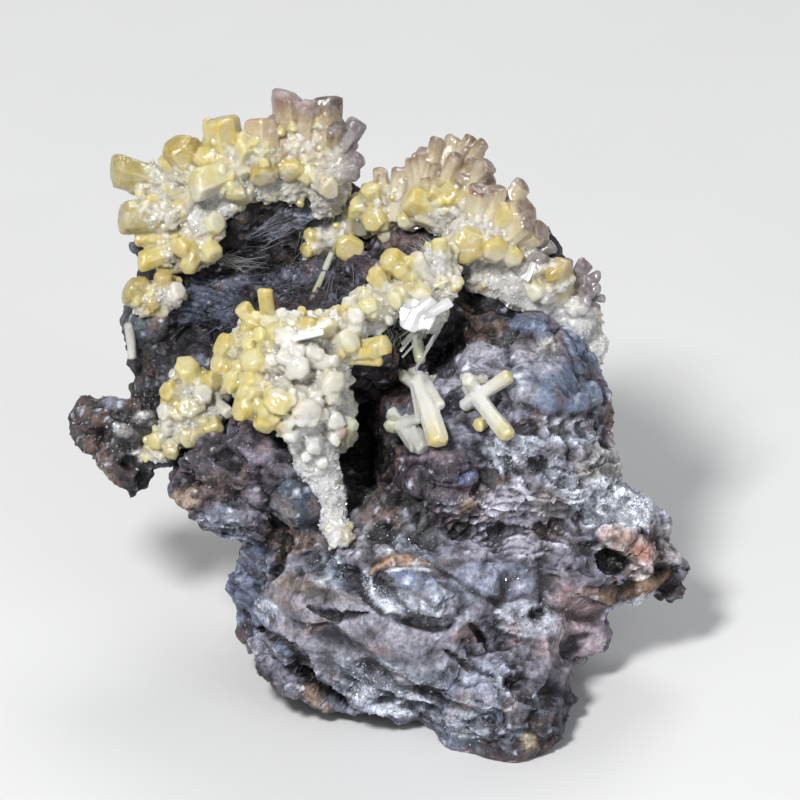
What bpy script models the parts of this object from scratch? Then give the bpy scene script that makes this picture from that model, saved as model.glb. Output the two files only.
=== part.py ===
"""Mimetite specimen: clusters of yellow hexagonal crystals on a dark, lumpy iron-oxide matrix.

The specimen is laid out on its show face, the broken side that carries the crystals. A place on
the face is (u, v, w) in millimetres: u to the right, v up the face, and w out of it towards the
person who looks at it. The face leans back, so that its normal points FACE_RISE above the horizon.
The specimen stands on a flat broken foot at z = 0.
"""

import itertools
import math

import bmesh
import bpy
import numpy as np
from mathutils import Matrix, Vector
from mathutils.bvhtree import BVHTree

MM = 0.001

# The show face in the row frame, before the whole is centred
FACE_RISE = math.radians(30.0)
FACE_ORIGIN = (1.22, -1.68, 22.0)

# Fineness of the solids
BODY_VOXEL = 0.6
CRUST_VOXEL = 0.42
MATRIX_TRIANGLES = 2750
CUTTER_TRIANGLES = 3700
CRUST_TRIANGLES_PER_LUMP = 11
CRUST_TRIANGLES_AT_LEAST = 60
CLUSTER_SHARE = 0.8
SMALL_CLUSTER = 250
SEAT_GAP = 0.42

# How far a crust lump stands up from the surface, as a share of its radius, and its fullness
CRUST_LIFT = 0.24
CRUST_FULLNESS = 1.12

# The w at which a root past the edge of the face looks for the nearest surface, and the w past all of it
EDGE_LEVEL = {"front": -7.0, "back": -11.0}
FAR_LEVEL = {"front": 60.0, "back": -60.0}

# The matrix's broken skin: the size of each kind of unevenness and its height
SWELL_SIZE, SWELL_HEIGHT = 8.5, 1.25
CREST_SIZE, CREST_HEIGHT = 4.6, 0.55
LUMP_SIZE, LUMP_HEIGHT = 2.2, 0.5
LEDGE_PITCH, LEDGE_HEIGHT = 2.9, 0.75
SKIN_SINK = 0.3

# The bedding that the ledges step across, as a direction on the face, and how its layers wander
BEDDING = (0.28, 0.92, 0.27)
BEDDING_WANDER_SIZE, BEDDING_WANDER = 9.0, 1.1

# The crust's bumps: the size of the crests and of the swells, and their heights
CRUST_CREST_SIZE, CRUST_CREST_HEIGHT = 1.9, 0.42
CRUST_SWELL_SIZE, CRUST_SWELL_HEIGHT = 3.4, 0.25

# How many times a new skin is smoothed
BODY_SMOOTHING = 14
CRUST_SMOOTHING = 3

# The crystals' common form, as shares of the radius, and how deep their roots are sunk
ROOT_DEPTH = 1.7
ROOT_TAPER = 0.86
TIP_INSET = 0.42
TIP_HEIGHT = 0.45
BARE_LIFT = 0.7

# The matrix as lumps: centre (u, v, w), half sizes (u, v, w), turn in the face in degrees
MATRIX_LUMPS = {
    "core": ((0.0, -3.0, -6.0), (15.5, 15.5, 10.0), 0),
    "foot": ((1.0, -16.0, -4.0), (12.0, 8.5, 10.5), 0),
    "heel": ((1.0, -10.0, -13.0), (12.0, 8.0, 7.0), 0),
    "front_belly": ((0.0, -15.0, 0.0), (10.5, 7.5, 7.5), -12),
    "toe": ((7.2, -21.6, -1.2), (5.8, 6.2, 6.0), -10),
    "right_shoulder": ((9.0, -2.5, -3.5), (7.6, 10.5, 8.0), 8),
    "right_flank": ((12.5, -11.0, -5.0), (7.6, 5.8, 6.5), -30),
    "right_flake": ((18.6, -10.4, -6.0), (2.4, 5.8, 2.4), 28),
    "right_heel": ((13.2, -17.0, -5.6), (3.6, 3.2, 4.0), 30),
    "right_crest": ((5.5, 9.6, -7.5), (9.6, 6.0, 6.5), -24),
    "left_crest": ((-11.4, 13.6, -8.6), (9.0, 5.6, 5.6), 14),
    "left_flank": ((-13.5, 3.0, -8.0), (7.4, 7.4, 6.5), 0),
    "left_knob": ((-17.4, 4.8, -6.0), (3.2, 3.4, 3.4), 0),
    "left_wing": ((-20.6, -2.6, -4.2), (4.4, 3.0, 3.0), -20),
    "wing_tip": ((-20.6, -5.4, -4.4), (1.6, 3.0, 2.0), 18),
    "left_shoulder": ((-10.6, -5.0, -1.0), (6.8, 5.2, 6.0), 12),
    "middle_rib": ((-3.8, 5.9, 0.2), (9.4, 2.7, 4.8), 31),
    "tail_spur": ((-7.6, 0.2, 0.8), (4.4, 4.6, 5.0), 0),
    "left_heel": ((-7.4, -15.2, -5.0), (5.0, 6.4, 7.0), 24),
}

# Hollows and swellings of the show face: centre (u, v), half sizes, turn, and height (below 0: depth)
FACE_RELIEF = {
    "cavity": ((-3.0, -3.0), (2.3, 4.7), 8, -8.0),
    "cavity_mouth": ((1.2, 2.4), (4.6, 1.5), 38, -4.4),
    "upper_trough": ((-8.4, 11.4), (4.8, 2.8), 12, -4.0),
    "lower_trough": ((-12.0, 6.2), (6.0, 2.0), 14, -2.2),
    "purple_knob": ((2.6, -6.2), (2.6, 1.9), 20, 3.0),
    "right_ledge": ((8.4, -7.6), (6.4, 1.4), 8, 1.4),
    "right_groove": ((8.0, -9.8), (6.4, 1.1), 8, -1.3),
    "orange_pit": ((15.6, -11.6), (1.8, 1.2), -20, -1.8),
    "blue_swell": ((11.6, 0.6), (3.4, 2.6), -15, 1.2),
    "blue_cap": ((11.4, 4.8), (3.2, 1.3), -22, 1.3),
    "lower_left_pit": ((-16.0, -6.0), (1.5, 1.3), 0, -2.2),
    "front_crack": ((-7.0, -20.2), (4.0, 0.6), -42, -2.0),
    "front_ledge": ((-1.6, -14.2), (5.6, 0.8), -28, -1.5),
    "smooth_nodule": ((-7.7, -7.9), (1.7, 1.7), 0, 1.6),
    "front_pit": ((11.2, -21.6), (1.4, 0.9), 10, -1.4),
}

# The pale crust under each cluster as lumps on the matrix: (u, v, radius), on the front or the back
CRUSTS = {
    "left_crest_cluster": {
        "front": [
            (-17.6, 15.8, 1.5), (-16.8, 14.2, 1.4), (-17.0, 12.6, 1.3), (-16.6, 11.0, 1.2),
            (-15.2, 11.6, 1.5), (-14.6, 13.4, 1.4), (-15.4, 16.4, 1.8), (-13.4, 17.6, 1.7),
            (-13.2, 15.8, 1.3), (-11.4, 17.6, 1.7), (-10.6, 16.2, 1.3), (-9.4, 18.0, 1.7),
            (-8.2, 16.6, 1.4), (-7.4, 18.6, 1.8), (-5.8, 18.4, 1.7), (-5.6, 16.6, 1.4),
            (-5.8, 15.4, 1.0),
        ],
        "back": [(-13.8, 16.6, 1.3), (-10.5, 17.2, 1.4), (-7.2, 17.4, 1.4)],
    },
    "right_crest_cluster": {
        "front": [
            (-6.2, 11.6, 1.0), (-4.6, 12.4, 1.1), (-2.9, 13.9, 1.2), (-1.3, 14.2, 1.4),
            (0.8, 14.2, 1.5), (2.8, 14.4, 1.6), (4.6, 13.4, 1.7), (6.4, 12.2, 1.7),
            (7.6, 10.8, 1.6), (6.0, 10.6, 1.4), (9.2, 9.8, 1.6), (10.8, 8.4, 1.5),
            (12.2, 7.0, 1.5), (12.9, 6.0, 1.5), (13.6, 4.9, 1.4), (14.0, 3.8, 1.2),
            (14.3, 2.6, 1.0), (2.6, 15.3, 1.3), (4.6, 14.4, 1.4), (6.4, 13.4, 1.3),
        ],
        "back": [],
    },
    "middle_ridge_cluster": {
        "front": [
            (3.0, 10.4, 1.1), (2.7, 9.7, 1.3), (2.4, 8.6, 1.5), (2.0, 6.8, 1.4), (0.4, 8.2, 1.4),
            (-1.1, 7.5, 1.4), (-2.6, 6.4, 1.5), (-4.1, 5.3, 1.6), (-6.0, 4.1, 1.8),
            (-8.2, 3.8, 1.9), (-10.2, 4.2, 1.6), (-11.4, 2.6, 1.5), (-10.1, 0.8, 1.7),
            (-7.9, 1.1, 1.9), (-6.0, 1.9, 1.8), (-7.5, -1.1, 1.7), (-9.4, -0.6, 1.3),
            (-5.6, -0.4, 1.5), (-6.8, -3.0, 1.4), (-6.2, -4.9, 1.2), (-5.6, -6.8, 1.0),
            (-5.0, -8.4, 0.85), (-4.5, -9.8, 0.7),
        ],
        "back": [],
    },
    "lower_left_cluster": {
        "front": [
            (-17.4, -3.0, 1.2), (-16.5, -1.9, 1.4), (-15.8, -0.4, 1.5), (-14.8, 0.4, 1.4),
            (-15.4, 1.4, 1.3), (-14.4, -0.8, 1.2),
        ],
        "back": [],
    },
    "far_left_cluster": {"front": [(-19.0, 7.4, 1.1), (-17.8, 7.7, 1.1)], "back": []},
    "left_edge_crystal": {"front": [], "back": []},
    "round_crystal": {"front": [], "back": []},
    "pale_needle": {"front": [], "back": []},
    "pale_crystal": {"front": [], "back": []},
    "twin_crystal_left": {"front": [(1.9, 1.0, 0.7)], "back": []},
    "twin_crystal_right": {"front": [(5.9, 0.1, 0.9), (6.2, 1.4, 0.6)], "back": []},
}

# Each crystal: root (u, v), heading in the face and rise out of it in degrees, length, radius.
# Heading 0 points right and 90 up the face. A root on the back is found from behind.
CRYSTALS = {
    "left_crest_cluster": {
        "front": [
            (-17.2, 16.0, 162, 15, 5.0, 1.40), (-17.5, 14.6, 188, 24, 3.8, 1.25),
            (-18.0, 13.7, 185, 15, 1.7, 0.60), (-17.6, 12.2, 176, 15, 2.4, 0.72),
            (-17.3, 11.2, 202, 15, 2.6, 0.82), (-17.0, 10.0, 190, 20, 1.3, 0.50),
            (-15.0, 17.2, 128, 20, 3.2, 1.25), (-13.1, 18.0, 98, 25, 3.5, 1.35),
            (-12.0, 18.0, 68, 45, 2.4, 0.85), (-10.3, 18.4, 94, 20, 3.1, 1.25),
            (-8.2, 18.8, 94, 12, 4.6, 1.25), (-6.2, 18.8, 82, 10, 4.3, 1.35),
            (-5.2, 18.2, 56, 5, 3.6, 0.90), (-5.0, 17.6, 22, 20, 2.4, 0.85),
            (-8.4, 18.2, 300, 55, 1.9, 0.85), (-10.2, 17.6, 260, 60, 1.9, 0.95),
            (-12.9, 17.0, 204, 25, 3.4, 1.00), (-14.1, 18.0, 120, 60, 2.0, 0.90),
            (-12.6, 16.4, 290, 40, 1.6, 0.60), (-16.0, 15.7, 230, 45, 1.9, 0.65),
            (-16.6, 16.8, 132, 20, 2.2, 0.60), (-15.8, 12.0, 215, 50, 1.8, 0.80),
            (-14.4, 13.1, 20, 60, 1.6, 0.85), (-14.6, 11.8, 300, 45, 1.8, 0.75),
            (-15.4, 11.0, 240, 40, 1.7, 0.75), (-5.6, 16.4, 300, 60, 1.5, 0.80),
            (-7.1, 17.6, 280, 60, 1.7, 0.75), (-11.6, 16.0, 250, 45, 1.4, 0.60),
        ],
        "back": [
            (-13.2, 17.0, 108, -15, 1.5, 0.90), (-9.6, 17.4, 84, -18, 1.6, 0.95),
            (-7.0, 17.4, 68, -15, 1.4, 0.85),
        ],
    },
    "right_crest_cluster": {
        "front": [
            (-1.7, 14.9, 100, 45, 1.7, 0.75), (-0.8, 15.1, 88, 10, 2.8, 0.78),
            (1.6, 15.5, 84, 10, 3.6, 0.85), (2.8, 15.4, 64, 12, 5.5, 1.15),
            (3.2, 15.0, 54, 18, 5.0, 1.05), (3.8, 14.8, 44, 20, 4.2, 0.95),
            (3.5, 15.4, 60, -5, 4.8, 0.90), (5.9, 14.2, 70, 0, 2.2, 0.80),
            (7.0, 13.1, 70, 10, 3.4, 0.85), (7.6, 12.4, 38, 22, 3.2, 1.20),
            (7.2, 12.6, 58, 30, 2.6, 0.80), (5.3, 12.9, 82, 30, 2.9, 1.00),
            (3.5, 14.0, 158, 20, 3.5, 1.10), (3.4, 15.0, 110, 50, 1.9, 0.80),
            (5.2, 12.5, 250, 60, 2.3, 1.20), (6.7, 11.9, 300, 60, 2.0, 1.00),
            (-1.2, 14.0, 220, 60, 1.9, 0.85), (-0.8, 13.4, 250, 50, 1.6, 0.55),
            (1.0, 13.6, 200, 65, 1.8, 0.60), (5.0, 14.4, 95, -20, 1.7, 0.80),
            (3.6, 15.3, 80, -30, 1.9, 0.85), (-6.2, 11.6, 200, 40, 1.3, 0.50),
            (-6.0, 12.4, 170, 35, 1.3, 0.50), (-3.0, 14.0, 100, 45, 1.5, 0.70),
            (8.6, 11.4, 5, 10, 2.6, 1.20), (8.8, 10.9, -25, 15, 2.2, 0.90),
            (11.8, 8.6, 100, 30, 1.7, 0.95), (11.2, 7.9, 190, 55, 1.7, 0.80),
            (12.4, 8.2, 30, 0, 2.0, 0.85), (12.8, 7.6, 0, 5, 2.2, 0.80),
            (13.2, 7.0, -35, 10, 1.6, 0.70), (10.0, 9.6, 60, 50, 1.6, 0.60),
        ],
        "back": [],
    },
    "middle_ridge_cluster": {
        "front": [
            (-9.7, 5.8, 97, 20, 2.6, 0.55), (-10.6, 5.2, 125, 20, 2.3, 0.60),
            (-8.4, 5.6, -5, 30, 2.5, 0.80), (-10.4, 4.8, 110, 40, 2.0, 0.95),
            (-11.8, 3.7, 165, 30, 2.2, 0.90), (-12.0, 2.8, 185, 25, 2.1, 0.75),
            (-11.8, 1.9, 215, 30, 1.8, 0.65), (-8.4, 4.1, 90, 75, 2.5, 1.35),
            (-4.9, 3.9, 20, 45, 2.3, 1.00), (-6.0, 4.6, 60, 50, 2.2, 1.00),
            (-3.8, 3.5, 12, 20, 3.2, 0.75), (-10.2, -0.1, 200, 35, 2.4, 0.95),
            (-9.6, -0.7, 250, 40, 2.0, 0.80), (-8.6, 0.4, 230, 70, 2.4, 1.10),
            (-7.1, 0.0, 300, 70, 2.4, 1.15), (-5.6, 1.5, 340, 65, 2.3, 1.10),
            (-7.5, 2.3, 90, 85, 2.5, 1.20), (-10.2, 2.6, 150, 60, 2.3, 1.10),
            (-5.1, -1.2, 300, 30, 1.9, 0.55), (1.1, 9.2, 145, 28, 3.0, 0.90),
            (-0.9, 8.4, 125, 20, 1.9, 0.50), (3.0, 10.7, 92, 20, 1.6, 0.50),
            (1.5, 8.3, 280, 65, 2.1, 0.90), (0.0, 8.1, 240, 60, 2.1, 0.80),
            (1.2, 5.2, 280, 30, 2.4, 0.45), (-1.9, 6.8, 150, 60, 2.1, 0.90),
            (2.2, 7.4, 340, 35, 1.9, 0.90),
        ],
        "back": [],
    },
    "lower_left_cluster": {
        "front": [
            (-15.5, 1.1, 110, 35, 2.3, 1.00), (-16.3, 0.2, 160, 40, 1.9, 0.80),
            (-14.8, 1.0, 30, 50, 1.9, 0.75), (-14.5, 0.6, 15, 25, 1.9, 0.50),
            (-15.8, -1.0, 90, 75, 2.1, 0.90), (-14.4, -1.2, 290, 40, 2.1, 0.90),
            (-16.7, -1.1, 170, 50, 1.9, 0.75), (-17.0, -3.0, 260, 45, 1.8, 0.65),
            (-17.5, -2.7, 200, 35, 1.6, 0.60), (-16.2, -2.3, 300, 60, 1.9, 0.70),
        ],
        "back": [],
    },
    "far_left_cluster": {
        "front": [
            (-19.1, 7.3, 150, 25, 2.1, 1.00), (-17.9, 7.8, 85, 25, 1.8, 0.80),
            (-18.5, 7.4, 260, 50, 1.6, 0.70),
        ],
        "back": [],
    },
    "left_edge_crystal": {"front": [(-20.0, 3.9, 105, 25, 2.6, 0.45)], "back": []},
    "round_crystal": {"front": [(-3.6, 11.2, 60, 76, 1.9, 1.02)], "back": []},
    "pale_needle": {"front": [(-5.5, 9.8, 248, 38, 3.6, 0.42)], "back": []},
    "pale_crystal": {"front": [(0.2, -2.0, 306, 36, 2.4, 0.60)], "back": []},
    "twin_crystal_left": {
        "front": [(1.7, 1.2, 290, 40, 3.4, 0.55), (1.7, 0.4, 288, 42, 5.2, 0.78)],
        "back": [],
    },
    "twin_crystal_right": {
        "front": [
            (6.0, 0.2, 35, 35, 3.2, 0.62), (6.0, 0.0, 308, 42, 4.8, 0.78),
            (6.2, -0.5, 255, 50, 2.0, 0.48),
        ],
        "back": [],
    },
}

# Each piece's colour and roughness, as the photograph shows them. A stone has no metal in it.
FINISHES = {
    "matrix": ((0.071, 0.058, 0.056), 0.62),
    "left_crest_cluster": ((0.720, 0.560, 0.230), 0.28),
    "right_crest_cluster": ((0.630, 0.490, 0.260), 0.28),
    "middle_ridge_cluster": ((0.700, 0.580, 0.290), 0.30),
    "lower_left_cluster": ((0.640, 0.530, 0.280), 0.32),
    "far_left_cluster": ((0.620, 0.490, 0.190), 0.30),
    "left_edge_crystal": ((0.520, 0.440, 0.180), 0.30),
    "round_crystal": ((0.620, 0.440, 0.070), 0.22),
    "pale_needle": ((0.480, 0.500, 0.330), 0.25),
    "pale_crystal": ((0.560, 0.560, 0.340), 0.25),
    "twin_crystal_left": ((0.720, 0.640, 0.330), 0.22),
    "twin_crystal_right": ((0.700, 0.600, 0.270), 0.24),
}


def to_row(points):
    """Face coordinates in millimetres to row coordinates in metres."""
    u, v, w = np.asarray(points, float).T
    rise, run = math.sin(FACE_RISE), math.cos(FACE_RISE)
    turned = np.stack([u, v * rise - w * run, v * run + w * rise], axis=-1)
    return (turned + FACE_ORIGIN) * MM


def to_face(points):
    """Row coordinates in metres to face coordinates in millimetres."""
    x, y, z = (np.asarray(points, float) / MM - FACE_ORIGIN).T
    rise, run = math.sin(FACE_RISE), math.cos(FACE_RISE)
    return np.stack([x, y * rise + z * run, z * rise - y * run], axis=-1)


def face_to_row():
    """The same change of coordinates as a matrix that places a mesh."""
    corner, *ends = to_row([(0, 0, 0), (1, 0, 0), (0, 1, 0), (0, 0, 1)])
    placed = np.eye(4)
    placed[:3, :3] = (np.array(ends) - corner).T
    placed[:3, 3] = corner
    return Matrix(placed.tolist())


def face_directions(vectors):
    """Row directions seen in the face's axes."""
    return to_face(vectors * MM) - to_face(np.zeros((1, 3)))


def lattice_noise(points, seed):
    """Value noise between -1 and 1: one hashed value at each corner of a unit lattice, eased between."""
    cell = np.floor(points).astype(np.int64)
    part = points - cell
    ease = part * part * (3 - 2 * part)
    total = np.zeros(len(points))
    for corner in itertools.product((0, 1), repeat=3):
        x, y, z = (cell + corner).T
        mixed = (x * 73856093) ^ (y * 19349663) ^ (z * 83492791) ^ (seed * 49979693)
        mixed = (mixed ^ (mixed >> 13)) * 1274126177
        value = ((mixed ^ (mixed >> 16)) & 0xFFFF) / 32767.5 - 1
        total += value * np.prod(np.where(corner, ease, 1 - ease), axis=1)
    return total


def fractal(points, size, seed, octaves):
    """Octaves of noise on a lattice of this size in millimetres, each finer and fainter by half."""
    layers = [lattice_noise(points / size * 2**k, seed + k) / 2**k for k in range(octaves)]
    return sum(layers)


def ridges(points, size, seed):
    """Sharp crests between rounded hollows, from -1 to 1."""
    return 1 - 2 * np.abs(fractal(points, size, seed, octaves=3))


def ledges(points, pitch, seed):
    """Steps across the bedding: a saw whose teeth wander, from -0.5 to 0.5."""
    along = points @ np.array(BEDDING) / pitch
    along = along + BEDDING_WANDER * fractal(points, BEDDING_WANDER_SIZE, seed, octaves=2)
    return (along - np.floor(along)) ** 2 - 0.5


def coordinates(mesh):
    """The mesh's vertices as an array in row metres."""
    found = np.empty(len(mesh.vertices) * 3, np.float32)
    mesh.vertices.foreach_get("co", found)
    return found.reshape(-1, 3).astype(float)


def vertex_normals(mesh):
    """The mesh's vertex normals as an array."""
    found = np.empty(len(mesh.vertices) * 3, np.float32)
    mesh.vertex_normals.foreach_get("vector", found)
    return found.reshape(-1, 3).astype(float)


def move_vertices(mesh, points):
    """Puts the mesh's vertices at these places."""
    mesh.vertices.foreach_set("co", points.astype(np.float32).ravel())
    mesh.update()


def new_object(name, mesh, collection):
    """Links a mesh into a collection under this name."""
    obj = bpy.data.objects.new(name, mesh)
    collection.objects.link(obj)
    return obj


def baked(obj):
    """The object's mesh as its modifiers leave it. The object is removed."""
    bpy.context.view_layer.update()
    graph = bpy.context.evaluated_depsgraph_get()
    mesh = bpy.data.meshes.new_from_object(obj.evaluated_get(graph))
    bpy.data.objects.remove(obj)
    return mesh


def remeshed(mesh, helpers, voxel, smoothing=0):
    """One closed skin round overlapping shells, with its steps smoothed."""
    obj = new_object("skin", mesh, helpers)
    skin = obj.modifiers.new("skin", "REMESH")
    skin.mode = "VOXEL"
    skin.voxel_size = voxel * MM
    if smoothing:
        smooth = obj.modifiers.new("smooth", "SMOOTH")
        smooth.iterations = smoothing
    return baked(obj)


def decimated(mesh, helpers, triangles):
    """The mesh with about this many triangles."""
    mesh.calc_loop_triangles()
    obj = new_object("coarse", mesh, helpers)
    coarse = obj.modifiers.new("coarse", "DECIMATE")
    coarse.ratio = min(1.0, triangles / len(mesh.loop_triangles))
    coarse.use_collapse_triangulate = True
    return baked(obj)


def lump_shells(lumps, subdivisions):
    """A mesh of overlapping ellipsoids, each (centre, half sizes, turn) on the face."""
    shell = bmesh.new()
    for centre, sizes, turn in lumps:
        placed = Matrix.Translation(centre) @ Matrix.Rotation(math.radians(turn), 4, "Z")
        grown = face_to_row() @ placed @ Matrix.Diagonal((*sizes, 1.0))
        bmesh.ops.create_icosphere(shell, subdivisions=subdivisions, radius=1.0, matrix=grown)
    mesh = bpy.data.meshes.new("lumps")
    shell.to_mesh(mesh)
    shell.free()
    return mesh


def face_relief(points, normals):
    """How far each point moves along w for the named hollows and swellings of the show face."""
    front = np.clip(normals[:, 2] * 1.6 + 0.2, 0, 1)
    moved = np.zeros(len(points))
    for (u, v), (half_u, half_v), turn, height in FACE_RELIEF.values():
        angle = math.radians(turn)
        du, dv = points[:, 0] - u, points[:, 1] - v
        along = (du * math.cos(angle) + dv * math.sin(angle)) / half_u
        across = (dv * math.cos(angle) - du * math.sin(angle)) / half_v
        moved += height * np.exp(-((along**2 + across**2) ** 1.5))
    return moved * front


def rough_rock(mesh):
    """Carves the relief, the ledges and the broken, lumpy skin into the smooth body of the matrix."""
    points = to_face(coordinates(mesh))
    normals = face_directions(vertex_normals(mesh))
    points[:, 2] += face_relief(points, normals)
    swell = SWELL_HEIGHT * fractal(points, SWELL_SIZE, 3, octaves=2)
    crests = CREST_HEIGHT * ridges(points, CREST_SIZE, 17)
    lumps = LUMP_HEIGHT * fractal(points, LUMP_SIZE, 29, octaves=2)
    steps = LEDGE_HEIGHT * ledges(points, LEDGE_PITCH, 41)
    points += normals * (swell + (crests + lumps) + steps - SKIN_SINK)[:, None]
    move_vertices(mesh, to_row(points))


def box_cutter(name, low, high, helpers):
    """A hidden box between two corners in millimetres of the row frame."""
    shell = bmesh.new()
    size = [b - a for a, b in zip(low, high)]
    middle = [(a + b) / 2 * MM for a, b in zip(low, high)]
    placed = Matrix.Translation(middle) @ Matrix.Diagonal((*[s * MM for s in size], 1.0))
    bmesh.ops.create_cube(shell, size=1.0, matrix=placed)
    mesh = bpy.data.meshes.new(name)
    shell.to_mesh(mesh)
    shell.free()
    return hidden(new_object(name, mesh, helpers))


def hidden(obj):
    """Marks a cutter or a guide, which is no part of the specimen."""
    obj.hide_render = True
    obj.display_type = "WIRE"
    return obj


def boolean(obj, operation, other=None, collection=None):
    """Adds an exact Boolean with one object, or with all of a collection's."""
    cut = obj.modifiers.new(operation.lower(), "BOOLEAN")
    cut.operation = operation
    if collection is not None:
        cut.operand_type = "COLLECTION"
        cut.collection = collection
    else:
        cut.object = other
    return cut


def matrix_body(helpers):
    """The fine body of the matrix, before its triangles are thinned and its foot is cut."""
    mesh = remeshed(lump_shells(MATRIX_LUMPS.values(), 3), helpers, BODY_VOXEL, BODY_SMOOTHING)
    rough_rock(mesh)
    return mesh


def build_matrix(body, parts, helpers):
    """The matrix itself, thinned and cut flat where it stands."""
    obj = new_object("matrix_raw", decimated(body.copy(), helpers, MATRIX_TRIANGLES), helpers)
    ground = box_cutter("ground", (-60, -60, -40), (60, 60, 0), helpers)
    boolean(obj, "DIFFERENCE", ground)
    return dressed(new_object("matrix", baked(obj), parts))


def grown_body(body, helpers):
    """A hidden cutter: the matrix grown by the gap that a cluster keeps to it."""
    mesh = body.copy()
    move_vertices(mesh, coordinates(mesh) + vertex_normals(mesh) * SEAT_GAP * MM)
    mesh = decimated(remeshed(mesh, helpers, BODY_VOXEL), helpers, CUTTER_TRIANGLES)
    return hidden(new_object("grown_matrix", mesh, helpers))


def surface_tree(mesh):
    """A search tree of the mesh's faces."""
    shell = bmesh.new()
    shell.from_mesh(mesh)
    tree = BVHTree.FromBMesh(shell)
    shell.free()
    return tree


def seat(tree, u, v, side):
    """The point and normal met from the front or from behind at (u, v), or else the nearest ones."""
    start, toward = to_row([(u, v, FAR_LEVEL[side]), (u, v, 0.0)])
    place, normal, *_ = tree.ray_cast(Vector(start), Vector(toward - start).normalized())
    if place is None:
        place, normal, *_ = tree.find_nearest(Vector(to_row([(u, v, EDGE_LEVEL[side])])[0]))
    return place, normal


def direction(heading, rise):
    """A unit vector in the row frame for a heading in the face and a rise out of it."""
    turn, lift = math.radians(heading), math.radians(rise)
    on_face = (math.cos(turn) * math.cos(lift), math.sin(turn) * math.cos(lift), math.sin(lift))
    start, end = to_row([(0, 0, 0), on_face])
    return Vector(end - start).normalized()


def crystal_mesh(root, axis, length, radius):
    """A six-sided prism that widens a little and ends in a blunt pyramid. Its root is sunk."""
    shaft = (length + ROOT_DEPTH - radius * TIP_HEIGHT) * MM
    middle = root + axis * (shaft / 2 - ROOT_DEPTH * MM)
    placed = Matrix.Translation(middle) @ axis.to_track_quat("Z", "Y").to_matrix().to_4x4()
    shell = bmesh.new()
    bmesh.ops.create_cone(
        shell,
        cap_ends=True,
        segments=6,
        radius1=radius * ROOT_TAPER * MM,
        radius2=radius * MM,
        depth=shaft,
        matrix=placed,
    )
    shell.normal_update()
    end = max(shell.faces, key=lambda face: face.normal.dot(axis) * (len(face.verts) == 6))
    bmesh.ops.inset_individual(
        shell, faces=[end], thickness=radius * TIP_INSET * MM, depth=radius * TIP_HEIGHT * MM
    )
    mesh = bpy.data.meshes.new("crystal")
    shell.to_mesh(mesh)
    shell.free()
    return mesh


def outer_seat(trees, u, v, side):
    """The outermost point met at (u, v) on any of these surfaces: the crust where there is one."""
    outward = 1 if side == "front" else -1
    places = [seat(tree, u, v, side)[0] for tree in trees]
    return max(places, key=lambda place: outward * to_face([place])[0][2])


def crystal_objects(name, trees, collection):
    """Each crystal of a cluster as a hidden object of its own. One that lies bare on the rock is lifted."""
    made = []
    for side, crystals in CRYSTALS[name].items():
        for u, v, heading, rise, length, radius in crystals:
            root = outer_seat(trees, u, v, side)
            if len(trees) == 1:
                root = root + direction(90, 90) * BARE_LIFT * MM
            mesh = crystal_mesh(root, direction(heading, rise), length, radius)
            made.append(hidden(new_object(f"{name}_crystal", mesh, collection)))
    return made


def crust_mesh(name, tree, helpers):
    """The lumpy crust of a cluster as one closed skin, half sunk in the matrix."""
    lumps = []
    for side, places in CRUSTS[name].items():
        for u, v, radius in places:
            place, normal = seat(tree, u, v, side)
            full = radius * CRUST_FULLNESS
            centre = to_face([place + normal * full * CRUST_LIFT * MM])[0]
            lumps.append((centre, (full, full, full), 0))
    if not lumps:
        return None
    mesh = remeshed(lump_shells(lumps, 2), helpers, CRUST_VOXEL, CRUST_SMOOTHING)
    points = to_face(coordinates(mesh))
    crests = CRUST_CREST_HEIGHT * ridges(points, CRUST_CREST_SIZE, 53)
    swells = CRUST_SWELL_HEIGHT * fractal(points, CRUST_SWELL_SIZE, 61, octaves=2)
    bumps = face_directions(vertex_normals(mesh)) * (crests + swells)[:, None]
    move_vertices(mesh, to_row(points + bumps))
    return decimated(mesh, helpers, CRUST_TRIANGLES_PER_LUMP * len(lumps) + CRUST_TRIANGLES_AT_LEAST)


def largest_body(mesh):
    """Drops the loose chips that a cut leaves, and keeps the largest piece."""
    shell = bmesh.new()
    shell.from_mesh(mesh)
    bodies = []
    unseen = set(shell.verts)
    while unseen:
        body, edge = set(), [unseen.pop()]
        while edge:
            vert = edge.pop()
            body.add(vert)
            near = {e.other_vert(vert) for e in vert.link_edges} & unseen
            unseen -= near
            edge.extend(near)
        bodies.append(body)
    bodies.sort(key=len)
    for chip in bodies[:-1]:
        bmesh.ops.delete(shell, geom=list(chip), context="VERTS")
    shell.to_mesh(mesh)
    shell.free()
    return mesh


def dressed(obj):
    """Gives a finished piece a material of its own."""
    colour, roughness = FINISHES[obj.name]
    finish = bpy.data.materials.new(f"{obj.name}_finish")
    finish.use_nodes = True
    shader = finish.node_tree.nodes["Principled BSDF"]
    shader.inputs["Base Color"].default_value = (*colour, 1.0)
    shader.inputs["Roughness"].default_value = roughness
    shader.inputs["Metallic"].default_value = 0.0
    obj.data.materials.clear()
    obj.data.materials.append(finish)
    return obj


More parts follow.
